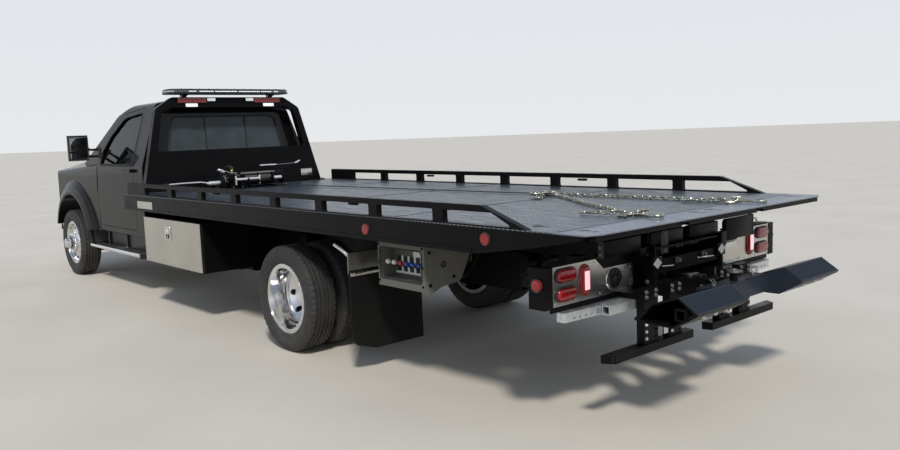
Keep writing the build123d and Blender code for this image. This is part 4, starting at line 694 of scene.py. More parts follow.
class Piece:
    """Gathers the faces of one new object. Places are in metres from the rear axle, at the ground."""

    def __init__(self, name, body, slot):
        self.name = name
        self.body = body
        self.slot = slot
        self.points = []
        self.faces = []
        self.looks = []
        self.face_looks = []

    def add(self, look, points, faces, matrix=None):
        start = len(self.points)
        if matrix is not None:
            points = [matrix @ Vector(p) for p in points]
        self.points.extend(tuple(p) for p in points)
        if look not in self.looks:
            self.looks.append(look)
        number = self.looks.index(look)
        for face in faces:
            self.faces.append([start + i for i in face])
            self.face_looks.append(number)
        return self

    def add_bmesh(self, look, bm, matrix=None):
        bm.verts.index_update()
        points = [v.co.copy() for v in bm.verts]
        faces = [[v.index for v in f.verts] for f in bm.faces]
        bm.free()
        return self.add(look, points, faces, matrix)

    def box(self, look, x, y, z, bevel=0.003, matrix=None, segments=2):
        """Box between pairs of coordinates, in any order, with rounded edges."""
        bm = bmesh.new()
        bmesh.ops.create_cube(bm, size=1)
        pairs = [sorted(pair) for pair in (x, y, z)]
        for v in bm.verts:
            v.co = Vector([low + (c + 0.5) * (high - low) for c, (low, high) in zip(v.co, pairs)])
        if bevel:
            bmesh.ops.bevel(bm, geom=bm.edges[:], offset=bevel, segments=segments, affect="EDGES",
                            profile=0.5)
        return self.add_bmesh(look, bm, matrix)

    def prism(self, look, corners, low, high, axis, bevel=0.002, matrix=None):
        """Flat outline pulled along an axis. The corners are the other two coordinates in order."""
        bm = bmesh.new()
        lower = [bm.verts.new(point) for point in lifted(corners, axis, low)]
        upper = [bm.verts.new(point) for point in lifted(corners, axis, high)]
        bm.faces.new(lower)
        bm.faces.new(upper[::-1])
        for i in range(len(corners)):
            j = (i + 1) % len(corners)
            bm.faces.new((lower[j], lower[i], upper[i], upper[j]))
        if bevel:
            bmesh.ops.bevel(bm, geom=bm.edges[:], offset=bevel, segments=2, affect="EDGES", profile=0.5,
                            clamp_overlap=True)
        return self.add_bmesh(look, bm, matrix)

    def lathe(self, look, profile, centre, direction=(0, 1, 0), steps=40):
        """Profile of (radius, distance along the direction) turned about the centre."""
        matrix = Matrix.Translation(Vector(centre)) @ frame_along(direction)
        points = []
        faces = []
        count = len(profile)
        for u, v in around(steps, 1.0):
            points += [(radius * u, radius * v, along) for radius, along in profile]
        for i in range(steps):
            here = i * count
            there = ((i + 1) % steps) * count
            for k in range(count - 1):
                faces.append((here + k, there + k, there + k + 1, here + k + 1))
        return self.add(look, points, faces, matrix)

    def tube(self, look, path, radius, sides=12, closed=False):
        """Round bar along a path of points. The radius may be one for each point."""
        path = [Vector(p) for p in path]
        count = len(path)
        radii = radius if isinstance(radius, (list, tuple)) else [radius] * count
        tangents = []
        for i in range(count):
            before = path[(i - 1) % count] if closed or i > 0 else path[i]
            after = path[(i + 1) % count] if closed or i < count - 1 else path[i]
            tangents.append((after - before).normalized())
        up = Vector((0, 0, 1)) if abs(tangents[0].z) < 0.9 else Vector((1, 0, 0))
        side = tangents[0].cross(up).normalized()
        points = []
        for i in range(count):
            side = (side - tangents[i] * side.dot(tangents[i])).normalized()
            other = tangents[i].cross(side)
            for k in range(sides):
                angle = 2 * pi * k / sides
                points.append(path[i] + (side * cos(angle) + other * sin(angle)) * radii[i])
        faces = []
        for i in range(count if closed else count - 1):
            j = (i + 1) % count
            for k in range(sides):
                n = (k + 1) % sides
                faces.append((i * sides + k, i * sides + n, j * sides + n, j * sides + k))
        if not closed:
            faces.append(tuple(range(sides))[::-1])
            faces.append(tuple((count - 1) * sides + k for k in range(sides)))
        return self.add(look, points, faces)

    def ring(self, look, centre, direction, major, minor, steps=32, sides=10):
        matrix = Matrix.Translation(Vector(centre)) @ frame_along(direction)
        path = [matrix @ Vector((u, v, 0)) for u, v in around(steps, major)]
        return self.tube(look, path, minor, sides, closed=True)

    def bolt(self, look, place, direction, size=0.008):
        """Washer and hexagonal head standing on a face."""
        for profile, steps in ((WASHER, 20), (BOLT_HEAD, 6)):
            self.lathe(look, [(size * r, size * h) for r, h in profile], place, direction, steps)

    def bolts(self, look, places, direction, size=0.008):
        for place in places:
            self.bolt(look, place, direction, size)

    def rivet(self, look, place, direction, size=0.006):
        self.lathe(look, [(size * r, size * h) for r, h in RIVET_HEAD], place, direction, 12)

    def rivets(self, look, places, direction, size=0.006):
        for place in places:
            self.rivet(look, place, direction, size)

    def make(self, smooth=35, outward=True):
        mesh = bpy.data.meshes.new(self.name)
        shifted = [(x + REAR_AXLE, y, z) for x, y, z in self.points]
        mesh.from_pydata(shifted, [], self.faces)
        for look in self.looks:
            mesh.materials.append(MATERIALS[look])
        mesh.polygons.foreach_set("material_index", self.face_looks)
        bm = bmesh.new()
        bm.from_mesh(mesh)
        bmesh.ops.remove_doubles(bm, verts=bm.verts[:], dist=0.00001)
        if outward:
            bmesh.ops.recalc_face_normals(bm, faces=bm.faces[:])
        bm.to_mesh(mesh)
        bm.free()
        mesh.shade_smooth()
        mesh.set_sharp_from_angle(angle=radians(smooth))
        thing = bpy.data.objects.new(self.name, mesh)
        bpy.context.scene.collection.objects.link(thing)
        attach(thing, self.body)
        return thing


# Winch cable
CABLE_POINTS = [(2.506, -0.1, 1.0987), (1.5, -0.31, 1.0773), (-1.048, -0.43, 1.0833)]
STRANDS = 6
STRAND_LAY = 0.075
STEPS_A_TURN = 10


def cable_curve(name, points, bevel=0.0):
    """Smooth curve with the points as its control points."""
    data = bpy.data.curves.new(name, "CURVE")
    data.dimensions = "3D"
    data.bevel_depth = bevel
    data.bevel_resolution = 4
    data.resolution_u = 60
    spline = data.splines.new("NURBS")
    spline.points.add(len(points) - 1)
    for control, point in zip(spline.points, points):
        control.co = (point[0] + REAR_AXLE, point[1], point[2], 1)
    spline.order_u = 3
    spline.use_endpoint_u = True
    curve = bpy.data.objects.new(name, data)
    bpy.context.scene.collection.objects.link(curve)
    return curve


def read_line(curve):
    """Points that a curve without thickness follows."""
    graph = bpy.context.evaluated_depsgraph_get()
    mesh = bpy.data.meshes.new_from_object(curve.evaluated_get(graph))
    line = [v.co.copy() for v in mesh.vertices]
    bpy.data.meshes.remove(mesh)
    return line


def line_length(line):
    return sum((b - a).length for a, b in zip(line, line[1:]))


def at_even_steps(line, count):
    """The line's points again, at equal distances along it."""
    total = line_length(line)
    places = [total * i / (count - 1) for i in range(count)]
    result = []
    run = 0.0
    k = 0
    for want in places:
        while k < len(line) - 2 and run + (line[k + 1] - line[k]).length < want:
            run += (line[k + 1] - line[k]).length
            k += 1
        step = (line[k + 1] - line[k]).length
        result.append(line[k].lerp(line[k + 1], min(1.0, (want - run) / step)))
    return result


def winch_rope():
    """Six-strand wire rope along the taut line from the drum to the hook's sleeve."""
    guide = cable_curve("cable_guide", CABLE_POINTS)
    line = read_line(guide)
    bpy.data.objects.remove(guide)
    length = line_length(line)
    path = at_even_steps(line, int(length / STRAND_LAY * STEPS_A_TURN))
    rope = Piece("winch_rope", "deck", "steel")
    along = [p - Vector((REAR_AXLE, 0, 0)) for p in path]
    rope.tube("wire_rope", along[::STEPS_A_TURN] + [along[-1]], 0.0042, 8)
    for strand in range(STRANDS):
        points = []
        for i, here in enumerate(along):
            ahead = (along[min(i + 1, len(along) - 1)] - along[max(i - 1, 0)]).normalized()
            side = ahead.cross(Vector((0, 0, 1))).normalized()
            up = side.cross(ahead)
            angle = 2 * pi * (strand / STRANDS + i / STEPS_A_TURN)
            points.append(here + (side * cos(angle) + up * sin(angle)) * 0.0036)
        rope.tube("wire_rope", points, 0.0014, 5)
    thing = rope.make(60)
    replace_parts(thing, "winch_cable")


winch_rope()


# Wheels
FRONT_AXLE = 5.207
TYRE_HALF = [(0.248, 0.078), (0.256, 0.0865), (0.262, 0.0895), (0.268, 0.0985), (0.274, 0.1015),
             (0.28, 0.1025), (0.2806, 0.1038), (0.2835, 0.104), (0.2842, 0.103), (0.3, 0.1092),
             (0.318, 0.112), (0.33, 0.1124), (0.3404, 0.1112), (0.341, 0.1122), (0.344, 0.112),
             (0.3446, 0.1104), (0.352, 0.1086), (0.36, 0.1056), (0.3606, 0.1066), (0.37, 0.104),
             (0.3785, 0.0998), (0.385, 0.094), (0.3898, 0.088), (0.3925, 0.08), (0.3932, 0.07),
             (0.3815, 0.0675), (0.381, 0.062), (0.3936, 0.0595), (0.3942, 0.048), (0.3945, 0.0375),
             (0.3815, 0.035), (0.381, 0.0295), (0.3946, 0.027), (0.3949, 0.013), (0.3949, 0.0095),
             (0.3815, 0.007), (0.3812, 0.0)]
TYRE_STEPS = 156
FRONT_Y = 0.95
REAR_OUTER_Y = 1.068
REAR_INNER_Y = 0.798
NUTS = 10
NUT_CIRCLE = 0.1125


def add_tyre(piece, x, y):
    """Tyre with bead, sidewall ribs, cut shoulder blocks and grooves with offset ribs."""
    section = TYRE_HALF + [(r, -w) for r, w in reversed(TYRE_HALF[:-1])]
    points = []
    faces = []
    count = len(section)
    for i in range(TYRE_STEPS):
        angle = 2 * pi * i / TYRE_STEPS
        for k, (r, w) in enumerate(section):
            shoulder = r > 0.362 and abs(w) > 0.066
            rib = r > 0.392 and 0.026 < abs(w) < 0.06
            cut = (i + (0 if w > 0 else 1)) % 3 == 0
            if shoulder and cut:
                r -= 0.0055
                w -= 0.0022 if w > 0 else -0.0022
            elif rib and (i + k) % 3 == 0:
                r -= 0.004
            points.append((x + r * cos(angle), y + w, AXLE_Z + r * sin(angle)))
    for i in range(TYRE_STEPS):
        here = i * count
        there = ((i + 1) % TYRE_STEPS) * count
        for k in range(count - 1):
            faces.append((here + k, here + k + 1, there + k + 1, there + k))
        faces.append((here + count - 1, here, there, there + count - 1))
    piece.add("tyre_rubber", points, faces)


def wheel_trim(piece, x, y, side, face, reach):
    """Nut caps, valve and bead rings. The nuts stand at face out from the tyre's middle plane."""
    out = (0, side, 0)
    for u, v in around(NUTS, NUT_CIRCLE, 0.5):
        spot = (x + u, y + side * (face + 0.0235), AXLE_Z + v)
        piece.lathe("chrome", [(0.0128, -0.022), (0.0128, 0.0), (0.0118, 0.006), (0.0088, 0.011),
                               (0.0045, 0.0135), (0, 0.014)], spot, out, 18)
        piece.lathe("chrome", [(0.0186, -0.0235), (0.0186, -0.021), (0.0165, -0.0175), (0.013, -0.0165)],
                    spot, out, 20)
    valve_angle = 0.39
    foot = Vector((x + reach * cos(valve_angle), y + side * (face - 0.02),
                   AXLE_Z + reach * sin(valve_angle)))
    tip = foot + Vector((0.012, side * 0.045, 0.004))
    piece.tube("chrome", [foot, tip], [0.0042, 0.0038], 10)
    piece.tube("black_plastic", [tip, tip + Vector((0.002, side * 0.009, 0))], 0.0052, 10)
    for bead in (0.244, 0.2555):
        piece.ring("polished_alloy", (x, y + side * 0.0905, AXLE_Z), (0, 1, 0), bead, 0.0022, 96, 8)


def make_wheels():
    for name, side in SIDES.items():
        tyre = Piece(f"front_tread_{name}", f"front_wheel_{name}", "tyre")
        add_tyre(tyre, FRONT_AXLE, side * FRONT_Y)
        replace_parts(tyre.make(32), f"front_tyre_{name}")
        trim = Piece(f"front_trim_{name}", f"front_wheel_{name}", "chrome")
        wheel_trim(trim, FRONT_AXLE, side * FRONT_Y, side, 0.084, 0.155)
        trim.lathe("chrome", [(0.092, 0.084), (0.0905, 0.098), (0.084, 0.1045), (0.0795, 0.1055)],
                   (FRONT_AXLE, side * FRONT_Y, AXLE_Z), (0, side, 0), 48)
        trim.make(40, outward=False)
        tyres = Piece(f"rear_tread_{name}", f"rear_wheels_{name}", "tyre")
        add_tyre(tyres, 0.0, side * REAR_OUTER_Y)
        add_tyre(tyres, 0.0, side * REAR_INNER_Y)
        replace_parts(tyres.make(32), f"rear_tyres_{name}")
        trim = Piece(f"rear_trim_{name}", f"rear_wheels_{name}", "chrome")
        wheel_trim(trim, 0.0, side * REAR_OUTER_Y, side, -0.123, 0.19)
        trim.make(40, outward=False)


make_wheels()


# Bridle chains and hooks
HOOK_RING = (-1.2253, -0.43)
CHAIN_FEET = ((-2.56, 0.4), (-2.65, -0.5))
LINK_BAR = 0.0045
LINK_PITCH = 0.03
LINK_HALF_WIDTH = 0.011
UP = (0, 0, 1)


def link_path(middle, ahead, roll):
    """Centre line of one chain link, lying along ahead and turned about it by roll."""
    ahead = ahead.normalized()
    side = ahead.cross(Vector(UP)).normalized()
    up = side.cross(ahead)
    across = side * cos(roll) + up * sin(roll)
    half = LINK_PITCH / 2 + LINK_BAR - LINK_HALF_WIDTH
    points = []
    for end in (1, -1):
        for i in range(7):
            angle = -pi / 2 + pi * i / 6
            along = end * (half + LINK_HALF_WIDTH * cos(angle))
            points.append(middle + ahead * along + across * (end * LINK_HALF_WIDTH * sin(angle)))
    return points


def add_chain(piece, start, end, sway=0.0, waves=2.0):
    """Chain lying on the deck from start to end, with its links turned one way and the other."""
    start = Vector(start)
    run = Vector(end) - start
    count = int(run.length / LINK_PITCH)
    side = run.cross(Vector(UP)).normalized()

    def spot(t):
        return start + run * t + side * (sway * sin(pi * waves * t) * sin(pi * t))

    for i in range(count):
        t = (i + 0.5) / count
        ahead = spot(min(1, t + 0.01)) - spot(max(0, t - 0.01))
        roll = radians(45 if i % 2 else -45) + 0.22 * sin(i * 2.3)
        piece.tube("zinc_chain", link_path(spot(t), ahead, roll), LINK_BAR, 7, closed=True)


def add_hook(piece, x, y, heading, kind, height=0.0):
    """Forged hook lying flat: J for the long one, T for the key hook, G for the grab hook."""
    ahead = Vector((cos(heading), sin(heading), 0))
    side = Vector((-sin(heading), cos(heading), 0))
    base = Vector((x, y, DECK_TOP + 0.0095 + height))

    def at(u, v, w=0.0):
        return base + ahead * u + side * v + Vector((0, 0, w))

    def bow(u, v, radius, first, sweep, steps):
        angles = [first + sweep * i / steps for i in range(steps + 1)]
        return [at(u + radius * cos(angle), v + radius * sin(angle)) for angle in angles]

    piece.ring("zinc_chain", at(-0.014, 0), UP, 0.0135, 0.0058, 20, 8)
    if kind == "J":
        path = [at(0, 0), at(0.045, 0), at(0.095, 0.002), at(0.125, 0.001)]
        path += bow(0.125, 0.034, 0.034, -pi / 2, pi, 8)[1:] + [at(0.098, 0.072, 0.003)]
        radii = [0.0075, 0.0085, 0.0092, 0.0098] + [0.01] * 6 + [0.009, 0.0075, 0.0045]
        piece.tube("zinc_chain", path, radii, 10)
    elif kind == "T":
        piece.tube("zinc_chain", [at(u, 0) for u in (0, 0.03, 0.058)], [0.0075, 0.0085, 0.0095], 10)
        piece.tube("zinc_chain", [at(0.062, v) for v in (-0.03, -0.018, 0.018, 0.03)],
                   [0.007, 0.0095, 0.0095, 0.007], 10)
    else:
        path = [at(0, 0), at(0.022, 0.004)] + bow(0.048, 0.01, 0.022, -2.2, 3.7, 7)
        piece.tube("zinc_chain", path, [0.0075, 0.0085] + [0.009] * 5 + [0.008, 0.0068, 0.005], 10)


def make_bridle():
    """Two chains from the hook's ring, each with its cluster of hooks, and two short ones by the ring."""
    bridle = Piece("bridle", "deck", "zinc_chain")
    lying = DECK_TOP + 0.0125
    rx, ry = HOOK_RING
    bridle.ring("zinc_chain", (rx, ry, DECK_TOP + 0.0143), (0.1, 0.05, 1), 0.04, 0.0088, 36, 12)
    for (x, y), spread, sway, waves in zip(CHAIN_FEET, (0.03, -0.03), (-0.013, 0.01), (3.0, 4.0)):
        add_chain(bridle, (rx - 0.034, ry + spread, lying), (x + 0.06, y, lying), sway, waves)
        bridle.ring("zinc_chain", (x + 0.03, y, DECK_TOP + 0.0095), (0, 0.05, 1), 0.027, 0.007, 28, 10)
        out = atan2(y - ry, x - rx)
        add_hook(bridle, x - 0.02, y + 0.006, out + 0.15, "J", 0.004)
        add_hook(bridle, x + 0.02, y + 0.046, out - 0.95, "T", 0.002)
        add_hook(bridle, x + 0.044, y - 0.04, out + 1.25, "G")
        add_chain(bridle, (x + 0.045, y + 0.035, lying + 0.01), (x + 0.215, y + 0.075, lying + 0.004),
                  0.012)
        add_hook(bridle, x + 0.235, y + 0.08, 0.35, "G", 0.006)
        add_hook(bridle, x - 0.004, y - 0.018, out + 2.15, "T", 0.018)
    add_chain(bridle, (rx + 0.012, ry + 0.04, lying + 0.012), (rx - 0.055, ry + 0.235, lying), 0.02)
    add_hook(bridle, rx - 0.066, ry + 0.252, 2.4, "G", 0.002)
    add_chain(bridle, (rx + 0.02, ry - 0.04, lying + 0.01), (rx + 0.16, ry - 0.13, lying), 0.012)
    add_hook(bridle, rx + 0.178, ry - 0.14, -0.7, "G", 0.002)
    add_hook(bridle, rx - 0.02, ry + 0.055, 1.1, "J", 0.02)
    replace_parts(bridle.make(50), "bridle_chains")
    latch = Piece("tow_hook_latch", "deck", "zinc_chain")
    latch.box("zinc_chain", (-1.075, -1.062), (-0.462, -0.398), (DECK_TOP + 0.01, DECK_TOP + 0.0195), 0.002)
    latch.bolt("zinc_chain", (-1.0685, -0.402, DECK_TOP + 0.019), UP, 0.0055)
    latch.make()


make_bridle()


# Winch
DRUM_X = 2.51
DRUM_Z = DECK_TOP + 0.092
UPPER_ROD_X = 2.575


def make_winding():
    """Rope wound on the drum, and the bolts of its flanges."""
    wound = Piece("winch_winding", "winch_drum", "steel")
    turns, steps, half_width = 25, 20, 0.133
    coil = around(steps, 0.0652)
    points = []
    for i in range(turns * steps + 1):
        u, v = coil[i % steps]
        points.append((DRUM_X + u, half_width * (2 * i / (turns * steps) - 1), DRUM_Z + v))
    wound.tube("wire_rope", points, 0.0049, 8)
    for side in (1, -1):
        places = [(DRUM_X + u, side * 0.15045, DRUM_Z + v) for u, v in around(6, 0.034)]
        wound.bolts("cast_steel", places, (0, side, 0), 0.006)
    wound.make(50)


def add_winch_frame(trim):
    """End bolts, feet and tie bars of the frame."""
    ties = (2.445, UPPER_ROD_X)
    tie_z = DECK_TOP + 0.148
    for side, circle, end in ((1, 0.05, 0.33), (-1, 0.061, 0.31)):
        places = [(DRUM_X + u, side * end, DRUM_Z + v) for u, v in around(8, circle, 0.5)]
        trim.bolts("cast_steel", places, (0, side, 0), 0.0058)
        feet = [(x, side * y, DECK_TOP + 0.01) for x in (2.405, 2.595) for y in (0.2, 0.3)]
        trim.bolts("cast_steel", feet, UP)
        gusset = [(2.398, DECK_TOP + 0.01), (2.42, DECK_TOP + 0.01), (2.414, DECK_TOP + 0.075)]
        trim.prism("satin_black", gusset, side * 0.172, side * 0.215, "y", 0.001)
        trim.bolts("cast_steel", [(x, side * 0.184, tie_z) for x in ties], (0, side, 0), 0.011)
    bar = [(0, -0.185), (0.0105, -0.185), (0.0105, 0.185), (0, 0.185)]
    for x in ties:
        trim.lathe("dull_steel", bar, (x, 0, tie_z), steps=20)


def add_winch_motor(trim):
    """Gearbox cover, the motor's block with its two ports, and the hoses from them to the deck."""
    trim.lathe("cast_steel", [(0.0455, 0.0), (0.0455, 0.006), (0.04, 0.01), (0.032, 0.01), (0.03, 0.004),
                              (0, 0.004)], (DRUM_X, 0.345, DRUM_Z), steps=36)
    trim.box("cast_steel", (DRUM_X - 0.022, DRUM_X + 0.022), (0.235, 0.285),
             (DRUM_Z + 0.048, DRUM_Z + 0.074), 0.004)
    for port, y in ((-0.011, 0.253), (0.011, 0.267)):
        x = DRUM_X + port
        trim.lathe("brass", [(0.0085, 0), (0.0085, 0.012), (0.011, 0.012), (0.011, 0.022), (0.0075, 0.026)],
                   (x, 0.26, DRUM_Z + 0.072), UP, 6)
        hose = [(x, y, DRUM_Z + 0.094), (x + 0.004, y, DRUM_Z + 0.118),
                (x + 0.045, y + 0.01, DRUM_Z + 0.135), (x + 0.12, y + 0.03, DRUM_Z + 0.085),
                (x + 0.17, y + 0.04, DRUM_Z - 0.02), (x + 0.205, y + 0.05, DECK_TOP + 0.012)]
        trim.tube("dull_black", smooth_path(hose, 5), 0.0085, 12)


def add_tensioner(trim):
    """Bright roller bar behind the drum on its two arms, and the bent rod over the arms."""
    trim.lathe("bright_steel", [(0, 0.0), (0.013, 0.0), (0.0135, 0.004), (0.0135, 0.26), (0.013, 0.264),
                                (0, 0.264)], (2.4, 0.008, 1.164), steps=28)
    arm = ((2.386, 0.088), (2.414, 0.088), (2.456, 0.146), (2.44, 0.158))
    corners = [(x, DECK_TOP + up) for x, up in arm]
    for y in (0.008, 0.272):
        trim.box("bright_steel", (2.389, 2.411), (y - 0.006, y + 0.006), (1.106, 1.199))
        trim.prism("satin_black", corners, y - 0.005, y + 0.005, "y", 0.001)
    trim.tube("dull_steel", [(2.47, 0.176, DECK_TOP + 0.115), (2.476, 0.25, DECK_TOP + 0.145),
                             (2.492, 0.325, DECK_TOP + 0.176), (2.5, 0.352, DECK_TOP + 0.184)], 0.0065, 10)


def add_winch_cylinders(trim):
    """Bright cylinders of the clutch and the tensioner, with the long lever to the deck's edge."""
    clutch = [(0, 0), (0.018, 0), (0.0205, 0.003), (0.0205, 0.118), (0.016, 0.122), (0.01, 0.122),
              (0.01, 0.142), (0, 0.142)]
    trim.lathe("bright_steel", clutch, (2.5, 0.398, 1.141), steps=28)
    trim.box("satin_black", (2.47, 2.53), (0.33, 0.4), (DECK_TOP + 0.002, 1.166), 0.006)
    trim.tube("bright_steel", [(2.5, 0.536, 1.146), (2.5, 0.6, 1.158), (2.495, 0.78, 1.16),
                               (2.48, 0.945, 1.158)], 0.0072, 10)
    trim.lathe("black_plastic", [(0, 0), (0.01, 0.002), (0.0115, 0.02), (0.0095, 0.055), (0.011, 0.088),
                                 (0.008, 0.098), (0, 0.1)], (2.4795, 0.94, 1.158), (-0.1, 1, -0.02), 18)
    tensioner = [(0, 0), (0.018, 0), (0.021, 0.004), (0.021, 0.11), (0.017, 0.116), (0, 0.116)]
    trim.lathe("bright_steel", tensioner, (2.455, -0.162, 1.158), (0, -1, 0), 28)


def add_upper_rods(trim):
    """Release rods over the drum: the left knob, and the right rod on its post with a knob at its end."""
    x = UPPER_ROD_X
    trim.tube("bright_steel", [(2.502, 0.345, 1.242), (2.5, 0.37, 1.255), (2.498, 0.412, 1.273)],
              [0.011, 0.0165, 0.0125], 14)
    trim.tube("dull_steel", [(x, -0.3, 1.285), (x, -0.42, 1.289), (x, -0.528, 1.293)], 0.005, 10)
    trim.tube("bright_steel", [(x, -0.525, 1.292), (x, -0.558, 1.302), (x, -0.588, 1.316)],
              [0.0075, 0.0105, 0.0085], 12)
    trim.tube("bright_steel", [(x, -0.103, 1.288), (x, -0.2, 1.288), (x, -0.303, 1.287)], 0.0085, 12)
    trim.box("satin_black", (x - 0.009, x + 0.009), (-0.302, -0.29), (DECK_TOP, 1.292))


def make_winch():
    trim = Piece("winch_trim", "deck", "frame_black")
    add_winch_frame(trim)
    add_winch_motor(trim)
    add_tensioner(trim)
    add_winch_cylinders(trim)
    add_upper_rods(trim)
    trim.make(40)


make_winding()
make_winch()


# Rack and lamp bar
RACK_FOOT = 2.86
RACK_LEAN = radians(5.4)
# Across, width, height on the rack's face and lens height of its lamps
RACK_LAMPS = ((0.435, 0.31, 0.923, 0.05), (0.222, 0.092, 0.929, 0.032), (0.446, 0.13, 0.871, 0.034))


def rack_frame(across, up):
    """Matrix whose x points out of the rack's rear face, y across and z up it."""
    spot = (RACK_FOOT + up * sin(RACK_LEAN), across, DECK_TOP + up * cos(RACK_LEAN))
    return Matrix.Translation(spot) @ Matrix.Rotation(RACK_LEAN, 4, "Y") @ Matrix.Rotation(pi, 4, "Z")


def add_rack_lamp(trim, m, width, height):
    """Rubber frame round a lens, with ribs on a long lens and bright rings on a low one."""
    w = width / 2 + 0.006
    h = height / 2 + 0.005
    for y0, y1, z0, z1 in ((-w, w, h - 0.005, h), (-w, w, -h, -h + 0.005), (-w, -w + 0.006, -h, h),
                           (w - 0.006, w, -h, h)):
        trim.box("dull_black", (-0.001, 0.0165), (y0, y1), (z0, z1), 0.0012, m, 1)
    if width > 0.2:
        for k in range(1, 6):
            y = width * (k / 6 - 0.5)
            trim.box("dull_black", (0.013, 0.015), (y - 0.0012, y + 0.0012),
                     (-height / 2 + 0.002, height / 2 - 0.002), 0.0003, m, 1)
    if height < 0.04:
        for k in (-1, 0, 1):
            trim.ring("chrome", m @ Vector((0.0146, k * width * 0.28, 0)), m.to_3x3() @ Vector((1, 0, 0)),
                      0.0092, 0.0012, 18, 6)


def make_rack_trim():
    trim = Piece("rack_trim", "deck", "frame_black")
    outwards = (-cos(RACK_LEAN), 0, sin(RACK_LEAN))
    for side in (1, -1):
        for across, width, up, height in RACK_LAMPS:
            add_rack_lamp(trim, rack_frame(side * across, up), width, height)
        edge = [(0.993 - 0.205 * up / 0.84, up) for up in (0.05, 0.22, 0.42, 0.6, 0.78)]
        places = [rack_frame(side * across, up).translation for across, up in edge]
        trim.bolts("satin_black", places, outwards)
        trim.box("satin_black", (2.832, 2.934), (side * 1.0, side * 1.07), (DECK_TOP, DECK_TOP + 0.012))
        trim.bolts("cast_steel", [(x, side * 1.045, DECK_TOP + 0.012) for x in (2.848, 2.918)], UP, 0.01)
    m = rack_frame(-0.85, 0.1)
    trim.box("tail_stainless", (0.0, 0.0025), (-0.072, 0.072), (-0.038, 0.038), 0.001, m)
    corners = [m @ Vector((0.0025, y, z)) for y in (-0.064, 0.064) for z in (-0.03, 0.03)]
    trim.rivets("chrome", corners, m.to_3x3() @ Vector((1, 0, 0)), 0.0035)
    trim.make()


BAR_BOTTOM = 2.055
BAR_X = 3.0
BAR_HALF = 0.125
LIT_ROWS = ((-0.545, -0.49), (-0.463, -0.338), (-0.324, -0.07), (-0.05, 0.204), (0.217, 0.377),
            (0.411, 0.491))
LIGHT_CELL = 0.021


def bar_levels(low, high):
    return (BAR_BOTTOM + low, BAR_BOTTOM + high)


def add_bar_end(bar, side):
    """End cap: dark foot and top round a smoked lens with a clear rim."""
    plan = ((-BAR_HALF, 0.601), (BAR_HALF, 0.601), (BAR_HALF, 0.645), (0.085, 0.688), (-0.085, 0.688),
            (-BAR_HALF, 0.645))
    corners = [(BAR_X + x, side * y) for x, y in plan]
    bar.prism("smoke_lens", corners, *bar_levels(0.012, 0.04), "z", 0.004)
    bar.tube("clear_lens", lifted(corners[1:], "z", BAR_BOTTOM + 0.024), 0.004, 8)
    bar.prism("dull_black", corners, *bar_levels(0, 0.012), "z")
    middle = Vector((BAR_X, side * 0.601))
    cap = [tuple(middle + (Vector(corner) - middle) * 0.9) for corner in corners]
    bar.prism("dull_black", cap, *bar_levels(0.04, 0.05), "z", 0.003)


def add_bar_face(bar, face):
    """Smoked strip along one long side, with its rows of light cells."""
    strip = (BAR_X + face * (BAR_HALF - 0.01), BAR_X + face * (BAR_HALF + 0.0015))
    bar.box("smoke_lens", strip, (-0.598, 0.598), bar_levels(0.0135, 0.0345))
    front = (BAR_X + face * (BAR_HALF + 0.001), BAR_X + face * (BAR_HALF + 0.0024))
    for start, stop in LIT_ROWS:
        count = round((stop - start) / LIGHT_CELL)
        cell = (stop - start) / count
        for k in range(count):
            y = start + cell * (k + 0.5)
            bar.box("white_lit", front, (y - cell * 0.4, y + cell * 0.4), bar_levels(0.0205, 0.028),
                    0.0006, segments=1)


def make_light_bar():
    """Low lamp bar: dark housing, clear end caps and a row of light modules all round."""
    bar = Piece("light_bar_body", "deck", "red_lens")
    half_outline = [(BAR_HALF, 0), (BAR_HALF, 0.016), (BAR_HALF - 0.004, 0.036), (BAR_HALF - 0.03, 0.052)]
    outline = half_outline + [(0, 0.0548)] + [(-x, z) for x, z in reversed(half_outline)]
    bar.prism("dull_black", [(BAR_X + x, BAR_BOTTOM + z) for x, z in outline], -0.6, 0.6, "y")
    for side in (1, -1):
        add_bar_end(bar, side)
        add_bar_face(bar, side)
    seam_x = (BAR_X - BAR_HALF + 0.034, BAR_X + BAR_HALF - 0.034)
    for i in range(12):
        y = -0.55 + 0.1 * i
        bar.box("dull_black", seam_x, (y - 0.0012, y + 0.0012), bar_levels(0.05, 0.0549), 0.0004,
                segments=1)
    shelf = [(-0.062, -0.02), (-0.03, -0.003), (0.045, -0.003), (0.045, 0), (-0.062, 0)]
    post = [(-0.028, -0.044), (0.028, -0.044), (0.028, 0), (-0.028, 0)]
    for y in (-0.5, 0.5):
        for corners, half_width, bevel in ((shelf, 0.022, 0.001), (post, 0.024, 0.002)):
            bar.prism("satin_black", [(BAR_X + x, BAR_BOTTOM + z) for x, z in corners], y - half_width,
                      y + half_width, "y", bevel)
        heads = [(BAR_X + x, y + 0.024, BAR_BOTTOM - 0.02) for x in (-0.018, 0.018)]
        bar.bolts("chrome", heads, (0, 1, 0), 0.006)
    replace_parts(bar.make(), "light_bar")


make_rack_trim()
make_light_bar()


# Tail
TAIL_X = -2.555
LENS_X = TAIL_X - 0.014
# Place across and up, width and height of the lamps, and of the round port
LAMPS = ((1.006, 0.828, 0.152, 0.064), (1.004, 0.73, 0.152, 0.064), (0.852, 0.779, 0.062, 0.158))
PORT = (0.607, 0.752)
PANEL_RIVETS = ((0.455, 0.7), (0.455, 0.795), (0.725, 0.69), (0.735, 0.835), (0.775, 0.862), (0.925, 0.862),
                (0.925, 0.69), (1.085, 0.69), (1.085, 0.862))
BACK = (-1, 0, 0)


